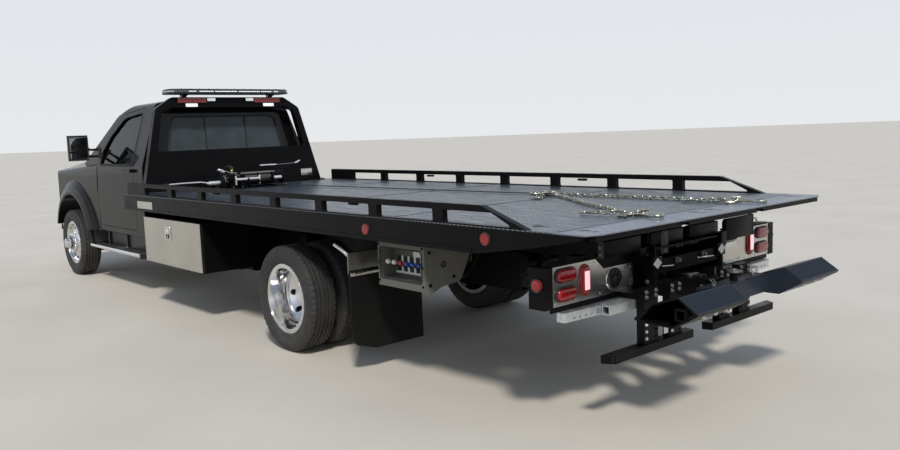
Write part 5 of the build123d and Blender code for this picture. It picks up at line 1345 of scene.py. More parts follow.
def add_dome(piece, look, lamp, levels):
    """Lens crown: the lamp's outline, drawn in and further out at each level."""
    y, z, width, height = lamp
    points = []
    for inset, x in levels:
        w = width - 2 * inset
        h = height - 2 * inset
        points += lifted(rounded_rectangle(y, z, w, h, min(w, h) / 2 - 0.001), "x", x)
    count = len(points) // len(levels)
    faces = []
    for start in range(0, (len(levels) - 1) * count, count):
        for i in range(count):
            j = (i + 1) % count
            faces.append((start + i, start + j, start + count + j, start + count + i))
    faces.append(tuple(range((len(levels) - 1) * count, len(levels) * count)))
    faces.append(tuple(reversed(range(count))))
    piece.add(look, points, faces)


def add_port(trim):
    """Round plug with spokes in the left panel."""
    y, z = PORT
    trim.lathe("dull_black", [(0.0585, -0.012), (0.0585, 0.001), (0.055, 0.004), (0.05, 0.002),
                              (0.047, -0.003), (0.03, -0.004), (0.014, 0.0005), (0, 0.0015)],
               (LENS_X, y, z), BACK)
    trim.ring("polished_alloy", (TAIL_X - 0.002, y, z), (1, 0, 0), 0.0615, 0.003, 44, 8)
    for inner, outer in zip(around(8, 0.018), around(8, 0.046)):
        spoke = [(LENS_X - 0.0035, y + u, z + v) for u, v in (inner, outer)]
        trim.tube("dull_black", spoke, 0.0022, 6)


def make_tail_lamp_trim():
    trim = Piece("tail_lamp_trim", "bed_frame", "red_lens")
    for side in (1, -1):
        trim.rivets("stainless", [(TAIL_X, side * y, z) for y, z in PANEL_RIVETS], BACK, 0.0055)
        trim.ring("dull_black", (TAIL_X + 0.04, side * 1.1825, 0.792), (0, 1, 0), 0.0325, 0.0045, 32, 8)
        trim.lathe("red_lens", [(0.03, 0.0), (0.029, 0.003), (0.022, 0.007), (0.012, 0.0088), (0, 0.0092)],
                   (TAIL_X + 0.04, side * 1.182, 0.792), (0, side, 0), 30)
        for y, z, width, height in LAMPS:
            lamp = (side * y, z, width - 0.006, height - 0.006)
            levels = ((0.0, 0.001), (0.0012, -0.002), (0.005, -0.005), (0.011, -0.0068))
            add_dome(trim, "tail_lens", lamp, [(inset, LENS_X + out) for inset, out in levels])
            outline = rounded_rectangle(side * y, z, width + 0.002, height + 0.002, min(width, height) / 2)
            look = "tail_lens" if height > width else "dull_black"
            trim.tube(look, lifted(outline, "x", TAIL_X - 0.004), 0.0058, 8, closed=True)
        y, z = LAMPS[2][:2]
        trim.box("pink_lit", (LENS_X - 0.008, LENS_X - 0.005), (side * y - 0.02, side * y + 0.02),
                 (z - 0.05, z + 0.05), 0.002)
    add_port(trim)
    trim.box("tail_stainless", (LENS_X - 0.0024, LENS_X - 0.0004), (-0.692, -0.44), (0.679, 0.811), 0.0009)
    corners = [(LENS_X - 0.0024, y, z) for y in (-0.68, -0.452) for z in (0.69, 0.8)]
    trim.rivets("stainless", corners, BACK, 0.0045)
    trim.make(40)


def make_tail_plates():
    """Plain plates below the beam, and a small one on the left post."""
    plates = Piece("tail_plates", "bed_frame", "stainless")
    for y in (0.342, -0.33):
        plates.box("satin_black", (-2.657, -2.6495), (y - 0.044, y + 0.044), (0.77, 0.844), 0.002)
        corners = [(y + 0.041, 0.807), (y, 0.838), (y - 0.041, 0.807), (y, 0.776)]
        plates.prism("white_enamel", corners, -2.6585, -2.6568, "x", 0.0006)
    plates.box("white_enamel", (-2.7195, -2.7178), (0.337, 0.378), (0.425, 0.492), 0.0006, segments=1)
    plates.make()


def make_tail_beam():
    """Box beam across the bed's tail, with its arms to the frame behind the lamps."""
    beam = Piece("tail_beam", "bed_frame", "frame_black")
    end = 0.775
    deep = (-2.622, -2.59)
    for side, foot in ((1, 0.888), (-1, 0.842)):
        outline = [(-2.622, foot), (-2.59, foot), (-2.59, 0.952), (-2.6, 0.974), (-2.622, 0.974)]
        beam.prism("satin_black", outline, *sorted((side * 0.446, side * end)), "y", 0.003)
        beam.box("satin_black", deep, (side * 0.364, side * 0.45), (foot - 0.03, 0.902))
        for y in (0.52, 0.74):
            beam.box("satin_black", (-2.592, -2.5335), (side * y, side * (y + 0.012)), (0.89, 0.902), 0.002)
        cap = end + 0.0045
        beam.box("grey_paint", (-2.6235, -2.587), (side * end, side * cap), (foot - 0.002, 0.976), 0.0015)
        beam.bolts("cast_steel", [(-2.604, side * cap, z) for z in (foot + 0.02, 0.945)], (0, side, 0))
        beam.box("satin_black", deep, (side * 0.034, side * 0.35), (0.9045, 0.974))
        y = side * 0.3
        beam.box("satin_black", (-2.612, -2.598), (y - 0.02, y + 0.02), (0.892, 0.906), 0.001)
    beam.box("grey_paint", (-2.6265, -2.6215), (0.19, 0.262), (0.846, 0.975), 0.002)
    beam.bolts("cast_steel", [(-2.6265, 0.226, z) for z in (0.862, 0.958)], BACK)
    beam.make()


def make_underride_trim():
    """Bolts and rolled foot edges of the underride bars' posts."""
    trim = Piece("underride_trim", "bed_frame", "black_paint")
    foot = 0.4005
    for side in (1, -1):
        for y0, y1 in ((0.43, 0.56), (0.203, 0.318)):
            column = [(-2.718, side * (y1 - 0.02), 0.43 + 0.038 * i) for i in range(5)]
            trim.bolts("bright_steel", column, BACK, 0.0078)
            heads = [(-2.718, side * y, z) for y in (y0 + 0.022, y1 - 0.022) for z in (0.655, 0.682)]
            trim.bolts("cast_steel", heads, BACK, 0.01)
            for y in (y0, y1):
                trim.tube("satin_black", [(-2.716, side * y, foot), (-2.672, side * y, foot)], 0.0045, 8)
            trim.tube("satin_black", [(-2.7185, side * y0, foot), (-2.7185, side * y1, foot)], 0.0048, 8)
        trim.box("dull_black", (-2.722, -2.678), (side * 0.829, side * 0.841), (0.362, 0.393), 0.002)
    trim.make()


HOUSING_BOLTS = ((-2.6, 0.86), (-2.6, 0.7), (-2.48, 0.86), (-2.3, 0.86), (-2.12, 0.86),
                 (-2.0, 0.86), (-2.0, 0.64))


def make_housing_trim():
    """Bolts, pipe runs and strap loop round the wheel lift's housing."""
    trim = Piece("lift_housing_trim", "bed_frame", "black_paint")
    for side in (1, -1):
        y = side * 0.3585
        trim.bolts("cast_steel", [(x, y, z) for x, z in HOUSING_BOLTS], (0, side, 0), 0.011)
        trim.lathe("cast_steel", [(0.046, 0), (0.046, 0.006), (0.03, 0.009), (0.026, 0.004), (0, 0.004)],
                   (-2.05, y, 0.62), (0, side, 0), 32)
        trim.tube("satin_black", [(-2.652, side * 0.334, 0.648), (-2.652, side * 0.334, 0.895)], 0.004, 8)
    for i, y in enumerate((-0.085, -0.05, 0.06, 0.1)):
        hose = [(-2.115, y * 1.6, 0.872), (-2.25, y * 1.4, 0.862), (-2.42, y, 0.838 + 0.01 * i),
                (-2.56, y * 0.9, 0.862), (-2.635, y * 1.1, 0.876)]
        trim.tube("dull_black", smooth_path(hose), 0.0085, 10)
    for y in (-0.21, -0.17, 0.22):
        pipe = [(-2.643, y - 0.05, 0.772), (-2.646, y, 0.776), (-2.643, y + 0.09, 0.784)]
        trim.tube("polished_alloy", smooth_path(pipe), 0.0045, 8)
    for y in (-0.145, 0.13):
        trim.lathe("cast_steel", [(0.02, 0), (0.02, 0.01), (0.013, 0.016), (0.013, 0.026), (0, 0.027)],
                   (-2.64, y, 0.8), BACK, 6)
    trim.make()
    loop = Piece("strap_loop", "bed_frame", "galvanised")
    outline = rounded_rectangle(-1.004, 0.896, 0.088, 0.042, 0.012, 4)
    loop.tube("white_enamel", lifted(outline, "x", TAIL_X + 0.055), 0.0055, 8, closed=True)
    loop.make()


def make_pad_trim():
    """Tread ribs on the slope of each wheel pad, with the bolts and pins of the crossbar."""
    trim = Piece("wheel_pad_trim", "crossbar", "frame_black")
    (x0, z0), (x1, z1) = PAD_SLOPE
    run = Vector((x1 - x0, 0, z1 - z0))
    normal = Vector((-run.z, 0, run.x)).normalized()
    ribs = 23
    ribs_from, ribs_wide = 0.312, 0.446
    for side in (1, -1):
        for i in range(ribs):
            foot = Vector((x0, side * (ribs_from + ribs_wide * i / (ribs - 1)), z0)) + normal * 0.0002
            trim.tube("pad_tread", [foot + run * 0.06, foot + run * 0.94], 0.0042, 6)
        lower = [(x, side * y, 0.6512 - 0.585 * (x + 3.1655))
                 for x, y in ((-3.118, 0.43), (-3.13, 0.545), (-3.125, 0.645))]
        trim.bolts("bright_steel", lower, (-0.505, 0, -0.863), 0.01)
        trim.ring("cast_steel", (-3.082, side * 0.7, 0.6225), UP, 0.012, 0.004, 20, 8)
        trim.lathe("cast_steel", [(0.013, 0), (0.013, 0.012), (0.008, 0.018), (0, 0.019)],
                   (-2.922, side * 0.21, 0.6905), UP, 20)
        trim.tube("cast_steel", [(-2.922, side * 0.21, 0.705), (-2.905, side * 0.222, 0.728),
                                 (-2.935, side * 0.24, 0.734), (-2.94, side * 0.216, 0.712)], 0.0035, 8)
        for x in (-2.968, -2.876):
            trim.tube("satin_black", [(x, side * 0.062, 0.691), (x, side * 0.296, 0.691)], 0.0038, 8)
    trim.make()


def make_boom_trim():
    """Collar at the outer boom's end, its hoses with their clamps, and the pin and hose of the head."""
    trim = Piece("boom_trim", "lift_boom", "frame_black")
    half, middle, wall = 0.0635, 0.62, 0.006
    top = middle + half
    low = middle - half
    for y in (-0.03, 0.012):
        hose = [(-2.11, y * 2.4, top + 0.06), (-2.2, y * 1.5, top + 0.02), (-2.42, y, top + 0.01),
                (-2.6, y, top + 0.0095), (-2.73, y, top + 0.0095)]
        trim.tube("dull_black", smooth_path(hose), 0.0082, 10)
    for x in (-2.3, -2.48, -2.66):
        trim.box("cast_steel", (x - 0.012, x + 0.012), (-0.052, 0.034), (top - 0.001, top + 0.0195))
    collar = (-2.782, -2.744)
    for z in (low - wall, top):
        trim.box("satin_black", collar, (-half - wall, half + wall), (z, z + wall), 0.002)
    for side in (1, -1):
        trim.box("satin_black", collar, (side * half, side * (half + wall)), (low - wall, top + wall),
                 0.002)
        trim.bolts("cast_steel", [(-2.763, side * (half + wall), z) for z in (0.59, 0.65)], (0, side, 0))
    trim.make()
    head = Piece("boom_head_trim", "lift_extension", "frame_black")
    pin = [(0.036, 0), (0.036, 0.01), (0.03, 0.014), (0.018, 0.014), (0.016, 0.02), (0, 0.021)]
    head.lathe("cast_steel", pin, (-2.922, 0, 0.7375), UP, 32)
    hose = [(-2.835, 0.05, 0.694), (-2.85, 0.075, 0.735), (-2.835, 0.045, 0.762), (-2.815, 0.01, 0.735),
            (-2.812, -0.01, 0.694)]
    head.tube("dull_black", smooth_path(hose), 0.0048, 8)
    head.tube("cast_steel", [(-2.812, -0.078, 0.672), (-2.812, -0.061, 0.672)], 0.0125, 14)
    head.make()


make_tail_lamp_trim()
make_tail_plates()
make_tail_beam()
make_underride_trim()
make_housing_trim()
make_pad_trim()
make_boom_trim()


# Sides
FLAP_Y = (0.601, 1.199)
FLAP_Z = (0.156, 0.699)
FLAP_X = (-0.904, -0.8955)
FLAP_ROWS = 12
FLAP_COLUMNS = 8
FLAP_CORNER = 0.054


def add_flap(body, side):
    """Rubber sheet with a cut lower corner, a slight sag and stiffening ribs on its rear face."""
    inner, full = FLAP_Y
    points = []
    for k in range(FLAP_ROWS + 1):
        z = FLAP_Z[0] + (FLAP_Z[1] - FLAP_Z[0]) * k / FLAP_ROWS
        lift = z - FLAP_Z[0]
        outer = full if lift > FLAP_CORNER else full - 0.19 * (1 - lift / FLAP_CORNER) ** 0.9
        for j in range(FLAP_COLUMNS + 1):
            y = inner + (outer - inner) * j / FLAP_COLUMNS
            points.append((0.0018 * sin(9 * y + 4 * z) * (1 - k / FLAP_ROWS), side * y, z))
    across = FLAP_COLUMNS + 1
    corners = [across * k + j for k in range(FLAP_ROWS) for j in range(FLAP_COLUMNS)]
    faces = [(a, a + 1, a + across + 1, a + across) for a in corners]
    count = len(points)
    border = list(range(across)) + [across * k + FLAP_COLUMNS for k in range(1, FLAP_ROWS + 1)]
    border += [across * FLAP_ROWS + j for j in range(FLAP_COLUMNS - 1, -1, -1)]
    border += [across * k for k in range(FLAP_ROWS - 1, 0, -1)]
    edges = [(a, b, b + count, a + count) for a, b in zip(border, border[1:] + border[:1])]
    back, front = [[(x + sag, y, z) for sag, y, z in points] for x in FLAP_X]
    behind = [tuple(i + count for i in reversed(face)) for face in faces]
    body.add("flap_rubber", front + back, faces + behind + edges)
    for k in range(1, 5):
        y = side * (inner + (full - inner) * k / 5)
        body.tube("flap_rubber", [(-0.9043, y, 0.235), (-0.9043, y, 0.655)], 0.0024, 6)


def make_mud_flaps():
    """Sheets, and the folded top edge, clamp bar with bolts and bent hanger arm of each."""
    body = Piece("mud_flap_sheets", "chassis", "rubber")
    trim = Piece("flap_trim", "chassis", "stainless")
    for side in (1, -1):
        add_flap(body, side)
        trim.box("stainless", (-0.9135, -0.9062), (side * 0.606, side * 1.194), (0.664, 0.69), 0.0015)
        for x, out in ((-0.9135, -1), (-0.888, 1)):
            places = [(x, side * (0.64 + 0.104 * i), 0.677) for i in range(6)]
            trim.bolts("stainless", places, (out, 0, 0), 0.0075)
        trim.tube("stainless", [(-0.889, side * 0.605, 0.8145), (-0.889, side * 1.195, 0.8145)], 0.0042, 8)
        arm = [(-0.8765, side * 1.1, 0.74), (-0.835, side * 1.135, 0.775), (-0.765, side * 1.158, 0.825),
               (-0.7, side * 1.169, 0.855)]
        trim.tube("galvanised", smooth_path(arm, 5), 0.0125, 14)
        trim.ring("stainless", (-0.879, side * 1.09, 0.74), (1, 0, 0.2), 0.02, 0.004, 20, 8)
    trim.make()
    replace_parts(body.make(30), "mud_flaps")


LEVER_PITCH = 0.062
LEVER_BOOT = ((0.02, 0.0), (0.019, 0.004), (0.0155, 0.008), (0.0165, 0.013), (0.012, 0.018),
              (0.0125, 0.022), (0.0085, 0.027))
LEVER_KNOB = ((0, -0.0164), (0.008, -0.0145), (0.0145, -0.008), (0.0162, 0.001), (0.0135, 0.01),
              (0.007, 0.0162), (0, 0.0175))
LEVER_COLOURS = ("knob_blue", "knob_blue", "knob_blue", "knob_red", "white_enamel", "white_enamel")


def make_control_trim():
    """Slot plate, lever boots and knobs, coloured dots and the rubber edge of each control box."""
    trim = Piece("control_trim", "chassis", "black_paint")
    for side in (1, -1):
        out = (0, side, 0)
        raised = (0, side, 0.35)
        plate = (side * 0.981, side * 0.9835)
        slot = (min(plate), max(plate) - 0.0012)
        trim.box("white_enamel", (-1.512, -1.118), plate, (0.688, 0.702), 0.0006, segments=1)
        trim.box("white_enamel", (-1.512, -1.3), plate, (0.802, 0.845), 0.0006, segments=1)
        for i, colour in enumerate(LEVER_COLOURS):
            x = -1.51 + LEVER_PITCH * i
            trim.box("white_enamel", (x, x + 0.02), plate, (0.702, 0.802), 0.0006, segments=1)
            trim.box("dull_black", (x + 0.02, x + LEVER_PITCH), slot, (0.702, 0.802), 0.0004, segments=1)
            trim.lathe("dull_black", LEVER_BOOT, (x + 0.04, side * 0.983, 0.7425), raised, 22)
            trim.lathe(colour, LEVER_KNOB, (x + 0.04, side * 1.074, 0.775), raised, 22)
        edge = rounded_rectangle(-1.315, 0.77, 0.412, 0.196, 0.02, 4)
        trim.tube("dull_black", lifted(edge, "y", side * 1.1005), 0.0045, 8, closed=True)
        face = [(x, side * 1.1, z) for x in (-1.53, -1.1) for z in (0.655, 0.77, 0.885)]
        trim.bolts("satin_black", face, out, 0.0065)
        trim.ring("satin_black", (-1.5485, side * 0.95, 0.775), (1, 0, 0), 0.017, 0.003, 24, 8)
        back = [(-1.548, side * y, z) for y, z in ((0.8, 0.86), (1.06, 0.86), (1.06, 0.66), (0.87, 0.69))]
        trim.bolts("satin_black", back, BACK, 0.009)
        for i in range(4):
            x = -1.44 + 0.075 * i
            hose = [(x, side * 0.86, 0.7), (x + 0.005, side * 0.82, 0.655), (x + 0.02, side * 0.7, 0.64),
                    (x + 0.05, side * 0.56, 0.69), (x + 0.06, side * 0.5, 0.76)]
            trim.tube("dull_black", smooth_path(hose), 0.008, 10)
    trim.make()


BOX_X = (1.296, 2.52)
BOX_Z = (0.442, 0.872)
LID_Y = 1.195
LATCH = (1.962, 0.7485)


def frame_outline(x0, x1, z0, z1, radius, steps):
    return rounded_rectangle((x0 + x1) / 2, (z0 + z1) / 2, x1 - x0, z1 - z0, radius, steps)


def make_lid_trim(name, side):
    """Raised border of a toolbox lid, and the paddle latch in its dish."""
    trim = Piece(f"toolbox_lid_trim_{name}", f"toolbox_lid_{name}", "stainless")
    x, z = LATCH

    def layer(low, high):
        return (side * (LID_Y + low), side * (LID_Y + high))

    border = frame_outline(BOX_X[0] + 0.022, BOX_X[1] - 0.022, BOX_Z[0] + 0.03, BOX_Z[1] - 0.022, 0.018, 4)
    trim.tube("stainless", lifted(border, "y", side * (LID_Y - 0.0008)), 0.0026, 6, closed=True)
    dish = rounded_rectangle(x, z, 0.112, 0.116, 0.01, 4)
    trim.tube("chrome", lifted(dish, "y", side * (LID_Y + 0.0056)), 0.0028, 8, closed=True)
    trim.box("stainless", (x - 0.05, x + 0.05), layer(0.0048, 0.0075), (z - 0.052, z + 0.052), 0.0012)
    paddle = layer(0.007, 0.0145)
    trim.box("chrome", (x - 0.03, x + 0.03), paddle, (z - 0.006, z + 0.036), 0.0035)
    recess = (min(paddle), max(paddle) - 0.004)
    trim.box("dull_black", (x - 0.031, x + 0.031), recess, (z - 0.046, z - 0.01), 0.001)
    trim.lathe("chrome", [(0.0095, 0.0), (0.0095, 0.003), (0.0075, 0.0045), (0, 0.0048)],
               (x, side * (LID_Y + 0.007), z - 0.03), (0, side, 0), 22)
    corners = [(x + u, side * (LID_Y + 0.0073), z + v) for u in (-0.044, 0.044) for v in (-0.046, 0.046)]
    trim.rivets("chrome", corners, (0, side, 0), 0.0042)
    trim.make()


def make_toolbox_trim():
    """Piano hinge knuckles, door seal and strap bolts of the toolboxes, with their lids' trim."""
    trim = Piece("toolbox_trim", "chassis", "black_paint")
    seal = frame_outline(BOX_X[0] + 0.006, BOX_X[1] - 0.006, BOX_Z[0] + 0.006, BOX_Z[1] - 0.006, 0.006, 3)
    for name, side in SIDES.items():
        make_lid_trim(name, side)
        for i in range(21):
            x = BOX_X[0] + 0.04 + 0.0572 * i
            trim.ring("stainless", (x, side * LID_Y, BOX_Z[0]), (1, 0, 0), 0.0062, 0.0009, 16, 5)
        trim.tube("dull_black", lifted(seal, "y", side * 1.1695), 0.003, 6, closed=True)
        straps = [(x, side * 0.6, 0.794) for x in (BOX_X[0] + 0.136, BOX_X[1] - 0.164)]
        trim.bolts("cast_steel", straps, UP, 0.01)
    trim.make()


def make_marker_trim():
    """Rubber grommets and domes of the round lamps in the deck's sides, and the key slots' guards."""
    trim = Piece("marker_trim", "deck", "red_lens")
    dome = [(0.03, 0.0), (0.0285, 0.0025), (0.022, 0.0052), (0.012, 0.0065), (0, 0.0068)]
    for side in (1, -1):
        for x, z in ((-1.124, 0.99), (-2.189, 1.008)):
            trim.ring("dull_black", (x, side * 1.2095, z), (0, 1, 0), 0.0335, 0.0042, 32, 8)
            trim.lathe("red_lens", dome, (x, side * 1.2085, z), (0, side, 0), 30)
        for x in ((0.981, 1.065), (-0.96, -0.878)):
            trim.box("satin_black", x, (side * 1.134, side * 1.166), (1.128, 1.146), 0.004)
    trim.make()


def make_deck_seams():
    """Weld beads along the deck's edge rails and at the joints of its plates."""
    seams = Piece("deck_seams", "deck", "deck_paint")
    for x, radius in ((-1.32, 0.0026), (0.1, 0.0026), (1.56, 0.0026), (-2.655, 0.0032)):
        z = DECK_TOP + 0.0002
        seams.tube("deck_paint", [(x, -1.165, z), (x, 1.165, z)], radius, 6)
    z = DECK_TOP + 0.0005
    for y in (1.1675, -1.1675):
        for i in range(46):
            x = 2.7 - 0.112 * i
            seams.tube("satin_black", [(x, y, z), (x - 0.05, y, z)], 0.0034, 6)
    seams.make()


def make_step_trim():
    """Rubber treads and end caps of the running boards."""
    trim = Piece("step_trim", "chassis", "chrome")
    for side in (1, -1):
        for x in (3.48, 4.24):
            for j in range(4):
                y = side * (0.915 + 0.026 * j)
                trim.box("dull_black", (x - 0.27, x + 0.27), (y - 0.0065, y + 0.0065), (0.4275, 0.4315),
                         0.0015, segments=1)
        for x in (3.148, 4.642):
            trim.box("dull_black", (x - 0.004, x + 0.004), (side * 0.898, side * 1.022), (0.372, 0.424))
    trim.make()


make_mud_flaps()
make_control_trim()
make_toolbox_trim()
make_marker_trim()
make_deck_seams()
make_step_trim()


# Cab
def filleted(corners, steps=6):
    """Closed outline of (u, v, radius) corners as (u, v) points, with an arc in each corner."""
    points = []
    count = len(corners)
    for i, (u, v, radius) in enumerate(corners):
        here = Vector((u, v))
        back = (Vector(corners[i - 1][:2]) - here).normalized()
        ahead = (Vector(corners[(i + 1) % count][:2]) - here).normalized()
        half = back.angle(ahead) / 2
        centre = here + (back + ahead).normalized() * (radius / sin(half))
        start = here + back * (radius / tan(half)) - centre
        turn = 1 if back.cross(ahead) < 0 else -1
        for k in range(steps + 1):
            a = turn * (pi - 2 * half) * k / steps
            points.append((centre.x + start.x * cos(a) - start.y * sin(a),
                           centre.y + start.x * sin(a) + start.y * cos(a)))
    return points


def cab_side_y(z):
    """Half width of the cab at a height, from the sill to the roof."""
    if z < 1.325:
        return 0.985 - 0.016 * (z - 0.98) / 0.345
    return 0.969 - 0.219 * (z - 1.325) / 0.643


def cab_back_x(z):
    return 3.048 + 0.062 * (z - 1.32) / 0.58


DOOR_WINDOW = [(3.338, 1.345, 0.045), (4.3, 1.345, 0.03), (4.308, 1.475, 0.05), (4.165, 1.65, 0.15),
               (3.88, 1.843, 0.35), (3.386, 1.888, 0.06)]
REAR_WINDOW = [(0.7, 1.345, 0.07), (0.6, 1.83, 0.08), (-0.6, 1.83, 0.08), (-0.7, 1.345, 0.07)]
BELT_Z = 1.334
MIRROR = (4.3, 1.1775, 1.535)


def node_tree(*names):
    """Search tree over the faces of CAD nodes."""
    points = []
    faces = []
    for name in names:
        mesh = NODES[name].data
        start = len(points)
        points += [v.co.copy() for v in mesh.vertices]
        faces += [[start + i for i in p.vertices] for p in mesh.polygons]
    return BVHTree.FromPolygons(points, faces)


def front_of(tree, y, z):
    """Foremost surface point and normal of a tree at y, z, from the rear axle."""
    spot, normal, _, _ = tree.ray_cast(Vector((tx(7.0), y, z)), Vector((-1, 0, 0)))
    return spot - Vector((REAR_AXLE, 0, 0)), normal


def cushion_height(u, v, crown, bolsters, channels):
    """Rise of a cushion's face at u, v from -1 to 1, above its drawn-in form."""
    height = crown * (1 - u * u) * (1 - v * v)
    if bolsters:
        height += 0.02 * max(0, (abs(u) - bolsters) / (1 - bolsters)) * (1 - abs(u) ** 9)
        height -= 0.007 * exp(-((abs(u) - bolsters) / 0.022) ** 2)
    if abs(u) < bolsters:
        for k in range(1, channels + 1):
            height -= 0.004 * exp(-((v + 1 - 2 * k / (channels + 1)) / 0.03) ** 2)
    return height


def add_cushion(piece, look, size, matrix, crown, bolsters=0.0, channels=0):
    """Stuffed form on its own axes: crowned face, sides drawn in between corners, and sewn lines."""
    cuts = 26
    bm = bmesh.new()
    bmesh.ops.create_grid(bm, x_segments=cuts, y_segments=cuts, size=1)
    flat = [(v.co.x, v.co.y) for v in bm.verts]
    faces = [[v.index for v in f.verts] for f in bm.faces]
    bm.free()
    width, length, thick = size

    def drawn_in(u, v):
        return u * width / 2 * (1 - 0.035 * (1 - v * v)), v * length / 2 * (1 - 0.03 * (1 - u * u))

    points = []
    for top in (1, -1):
        for u, v in flat:
            fall = (1 - abs(u) ** 7) * (1 - abs(v) ** 7)
            height = thick / 2 * (0.3 + 0.7 * fall ** 0.42)
            if top > 0:
                height += cushion_height(u, v, crown, bolsters, channels)
            points.append((*drawn_in(u, v), top * height))
    count = len(flat)
    shell = faces + [[i + count for i in reversed(f)] for f in faces]
    rim = [i for i, (u, v) in enumerate(flat) if max(abs(u), abs(v)) > 0.9999]
    rim.sort(key=lambda i: atan2(flat[i][1], flat[i][0]))
    for k, i in enumerate(rim):
        j = rim[(k + 1) % len(rim)]
        shell.append([j, i, i + count, j + count])
    piece.add(look, points, shell, matrix)
    seam = []
    for i in rim:
        x, y = drawn_in(*flat[i])
        seam.append(matrix @ Vector((x * 1.002, y * 1.002, thick * 0.15)))
    piece.tube(look, seam, 0.0036, 6, closed=True)


def turned(degrees, axis):
    return Matrix.Rotation(radians(degrees), 4, axis)


def make_seats():
    upright = turned(-17, "Y") @ turned(90, "Y") @ turned(90, "Z")
    flat = turned(-3, "Y") @ turned(90, "Z")
    # Name, x and z, rotation, size, crown, bolsters, sewn channels and fill of each pad
    pads = (("seat_cushion", 3.7, 0.942, flat, (0.47, 0.55, 0.112), 0.014, 0.62, 3, 0.8),
            ("seat_back", 3.405, 1.245, upright, (0.45, 0.52, 0.098), 0.012, 0.62, 4, 0.8),
            ("head_rest", 3.289, 1.59, upright, (0.26, 0.125, 0.08), 0.01, 0.0, 0, 0.9))
    for name, y in (("driver", 0.43), ("passenger", -0.43)):
        for pad, x, z, rotation, size, crown, bolsters, channels, fill in pads:
            piece = Piece(f"{pad}_{name}", "chassis", "seat_fabric")
            matrix = Matrix.Translation((x, y, z)) @ rotation
            add_cushion(piece, "seat_cloth", size, matrix, crown, bolsters, channels)
            piece.make(60)
        frame = Piece(f"seat_frame_{name}", "chassis", "black_plastic")
        frame.box("black_plastic", (3.45, 3.96), (y - 0.205, y + 0.205), (0.862, 0.898), 0.008)
        for side in (1, -1):
            post_y = y + side * 0.055
            frame.tube("chrome", [(3.318, post_y, 1.48), (3.297, post_y, 1.55)], 0.006, 10)
            across = (y + side * 0.212, y + side * 0.236)
            frame.box("black_plastic", (3.48, 3.52), across, (0.89, 1.01), 0.006)
        last = frame.make()
    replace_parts(last, "seats")


def make_cab_interior():
    """Padded hub and grip of the steering wheel, and the stalks beside it."""
    trim = Piece("cab_interior_trim", "chassis", "grey_plastic")
    centre = Vector((4.13, 0.42, 1.2))
    side = Vector((0, 1, 0))
    up = Vector((0.5, 0, 0.86))
    trim.lathe("black_plastic", [(0.062, -0.004), (0.06, 0.01), (0.045, 0.02), (0.02, 0.024), (0, 0.025)],
               centre, (-0.86, 0, 0.5), 32)
    for i in range(48):
        a = 2 * pi * i / 48
        grip = [centre + (side * cos(angle) + up * sin(angle)) * 0.185 for angle in (a, a + 0.05)]
        trim.tube("black_plastic", grip, 0.0157, 8)
    for stalk in ([(4.24, 0.445, 1.14), (4.215, 0.52, 1.165), (4.205, 0.585, 1.17)],
                  [(4.24, 0.395, 1.14), (4.215, 0.32, 1.16), (4.205, 0.26, 1.165)]):
        trim.tube("black_plastic", stalk, 0.008, 8)
    trim.make()


def add_mirror(trim, side):
    """Rim of the towing mirror, with its flat pane over the wide-angle one."""
    x, y, z = MIRROR
    y *= side
    face = x - 0.0005
    outer = rounded_rectangle(y, z, 0.2015, 0.262, 0.022)
    trim.tube("black_plastic", lifted(outer, "x", face), 0.0078, 8, closed=True)
    for mid, height in ((z + 0.04, 0.16), (z - 0.086, 0.066)):
        glass = rounded_rectangle(y, mid, 0.182, height, 0.012)
        count = len(glass)
        levels = ((0.001, 1.0), (-0.003, 1.0), (-0.0048, 0.97))
        points = [(face + out, y + (u - y) * k, mid + (v - mid) * k) for out, k in levels for u, v in glass]
        faces = []
        for start in (0, count):
            for i in range(count):
                j = (i + 1) % count
                faces.append((start + i, start + j, start + count + j, start + count + i))
        faces.append(tuple(range(2 * count, 3 * count)))
        trim.add("mirror_glass", points, faces)


def make_door_trim():
    """Window and belt seals, lock and mirror of each door."""
    for name, side in SIDES.items():
        trim = Piece(f"door_trim_{name}", f"door_{name}", "black_plastic")
        outline = [(x, side * (cab_side_y(z) - 0.0005), z) for x, z in filleted(DOOR_WINDOW)]
        trim.tube("dull_black", outline, 0.0068, 8, closed=True)
        belt_y = side * (cab_side_y(BELT_Z) + 0.001)
        trim.tube("dull_black", [(3.335 + 0.97 * i / 8, belt_y, BELT_Z) for i in range(9)], 0.0075, 8)
        trim.lathe("chrome", [(0.0, 0.0028), (0.008, 0.0028), (0.0105, 0.0)], (3.545, side * 0.9745, 1.283),
                   (0, side, 0), 20)
        add_mirror(trim, side)
        trim.bolts("chrome", [(4.343, side * 1.052, z) for z in (1.4495, 1.5245)], UP, 0.009)
        foot = side * 0.945
        trim.box("black_plastic", (4.318, 4.368), (foot - 0.02, foot + 0.014), (1.405, 1.545), 0.008)
        trim.box("clear_lens", (4.388, 4.396), (side * 1.1, side * 1.25), (1.42, 1.438))
        trim.make(40)


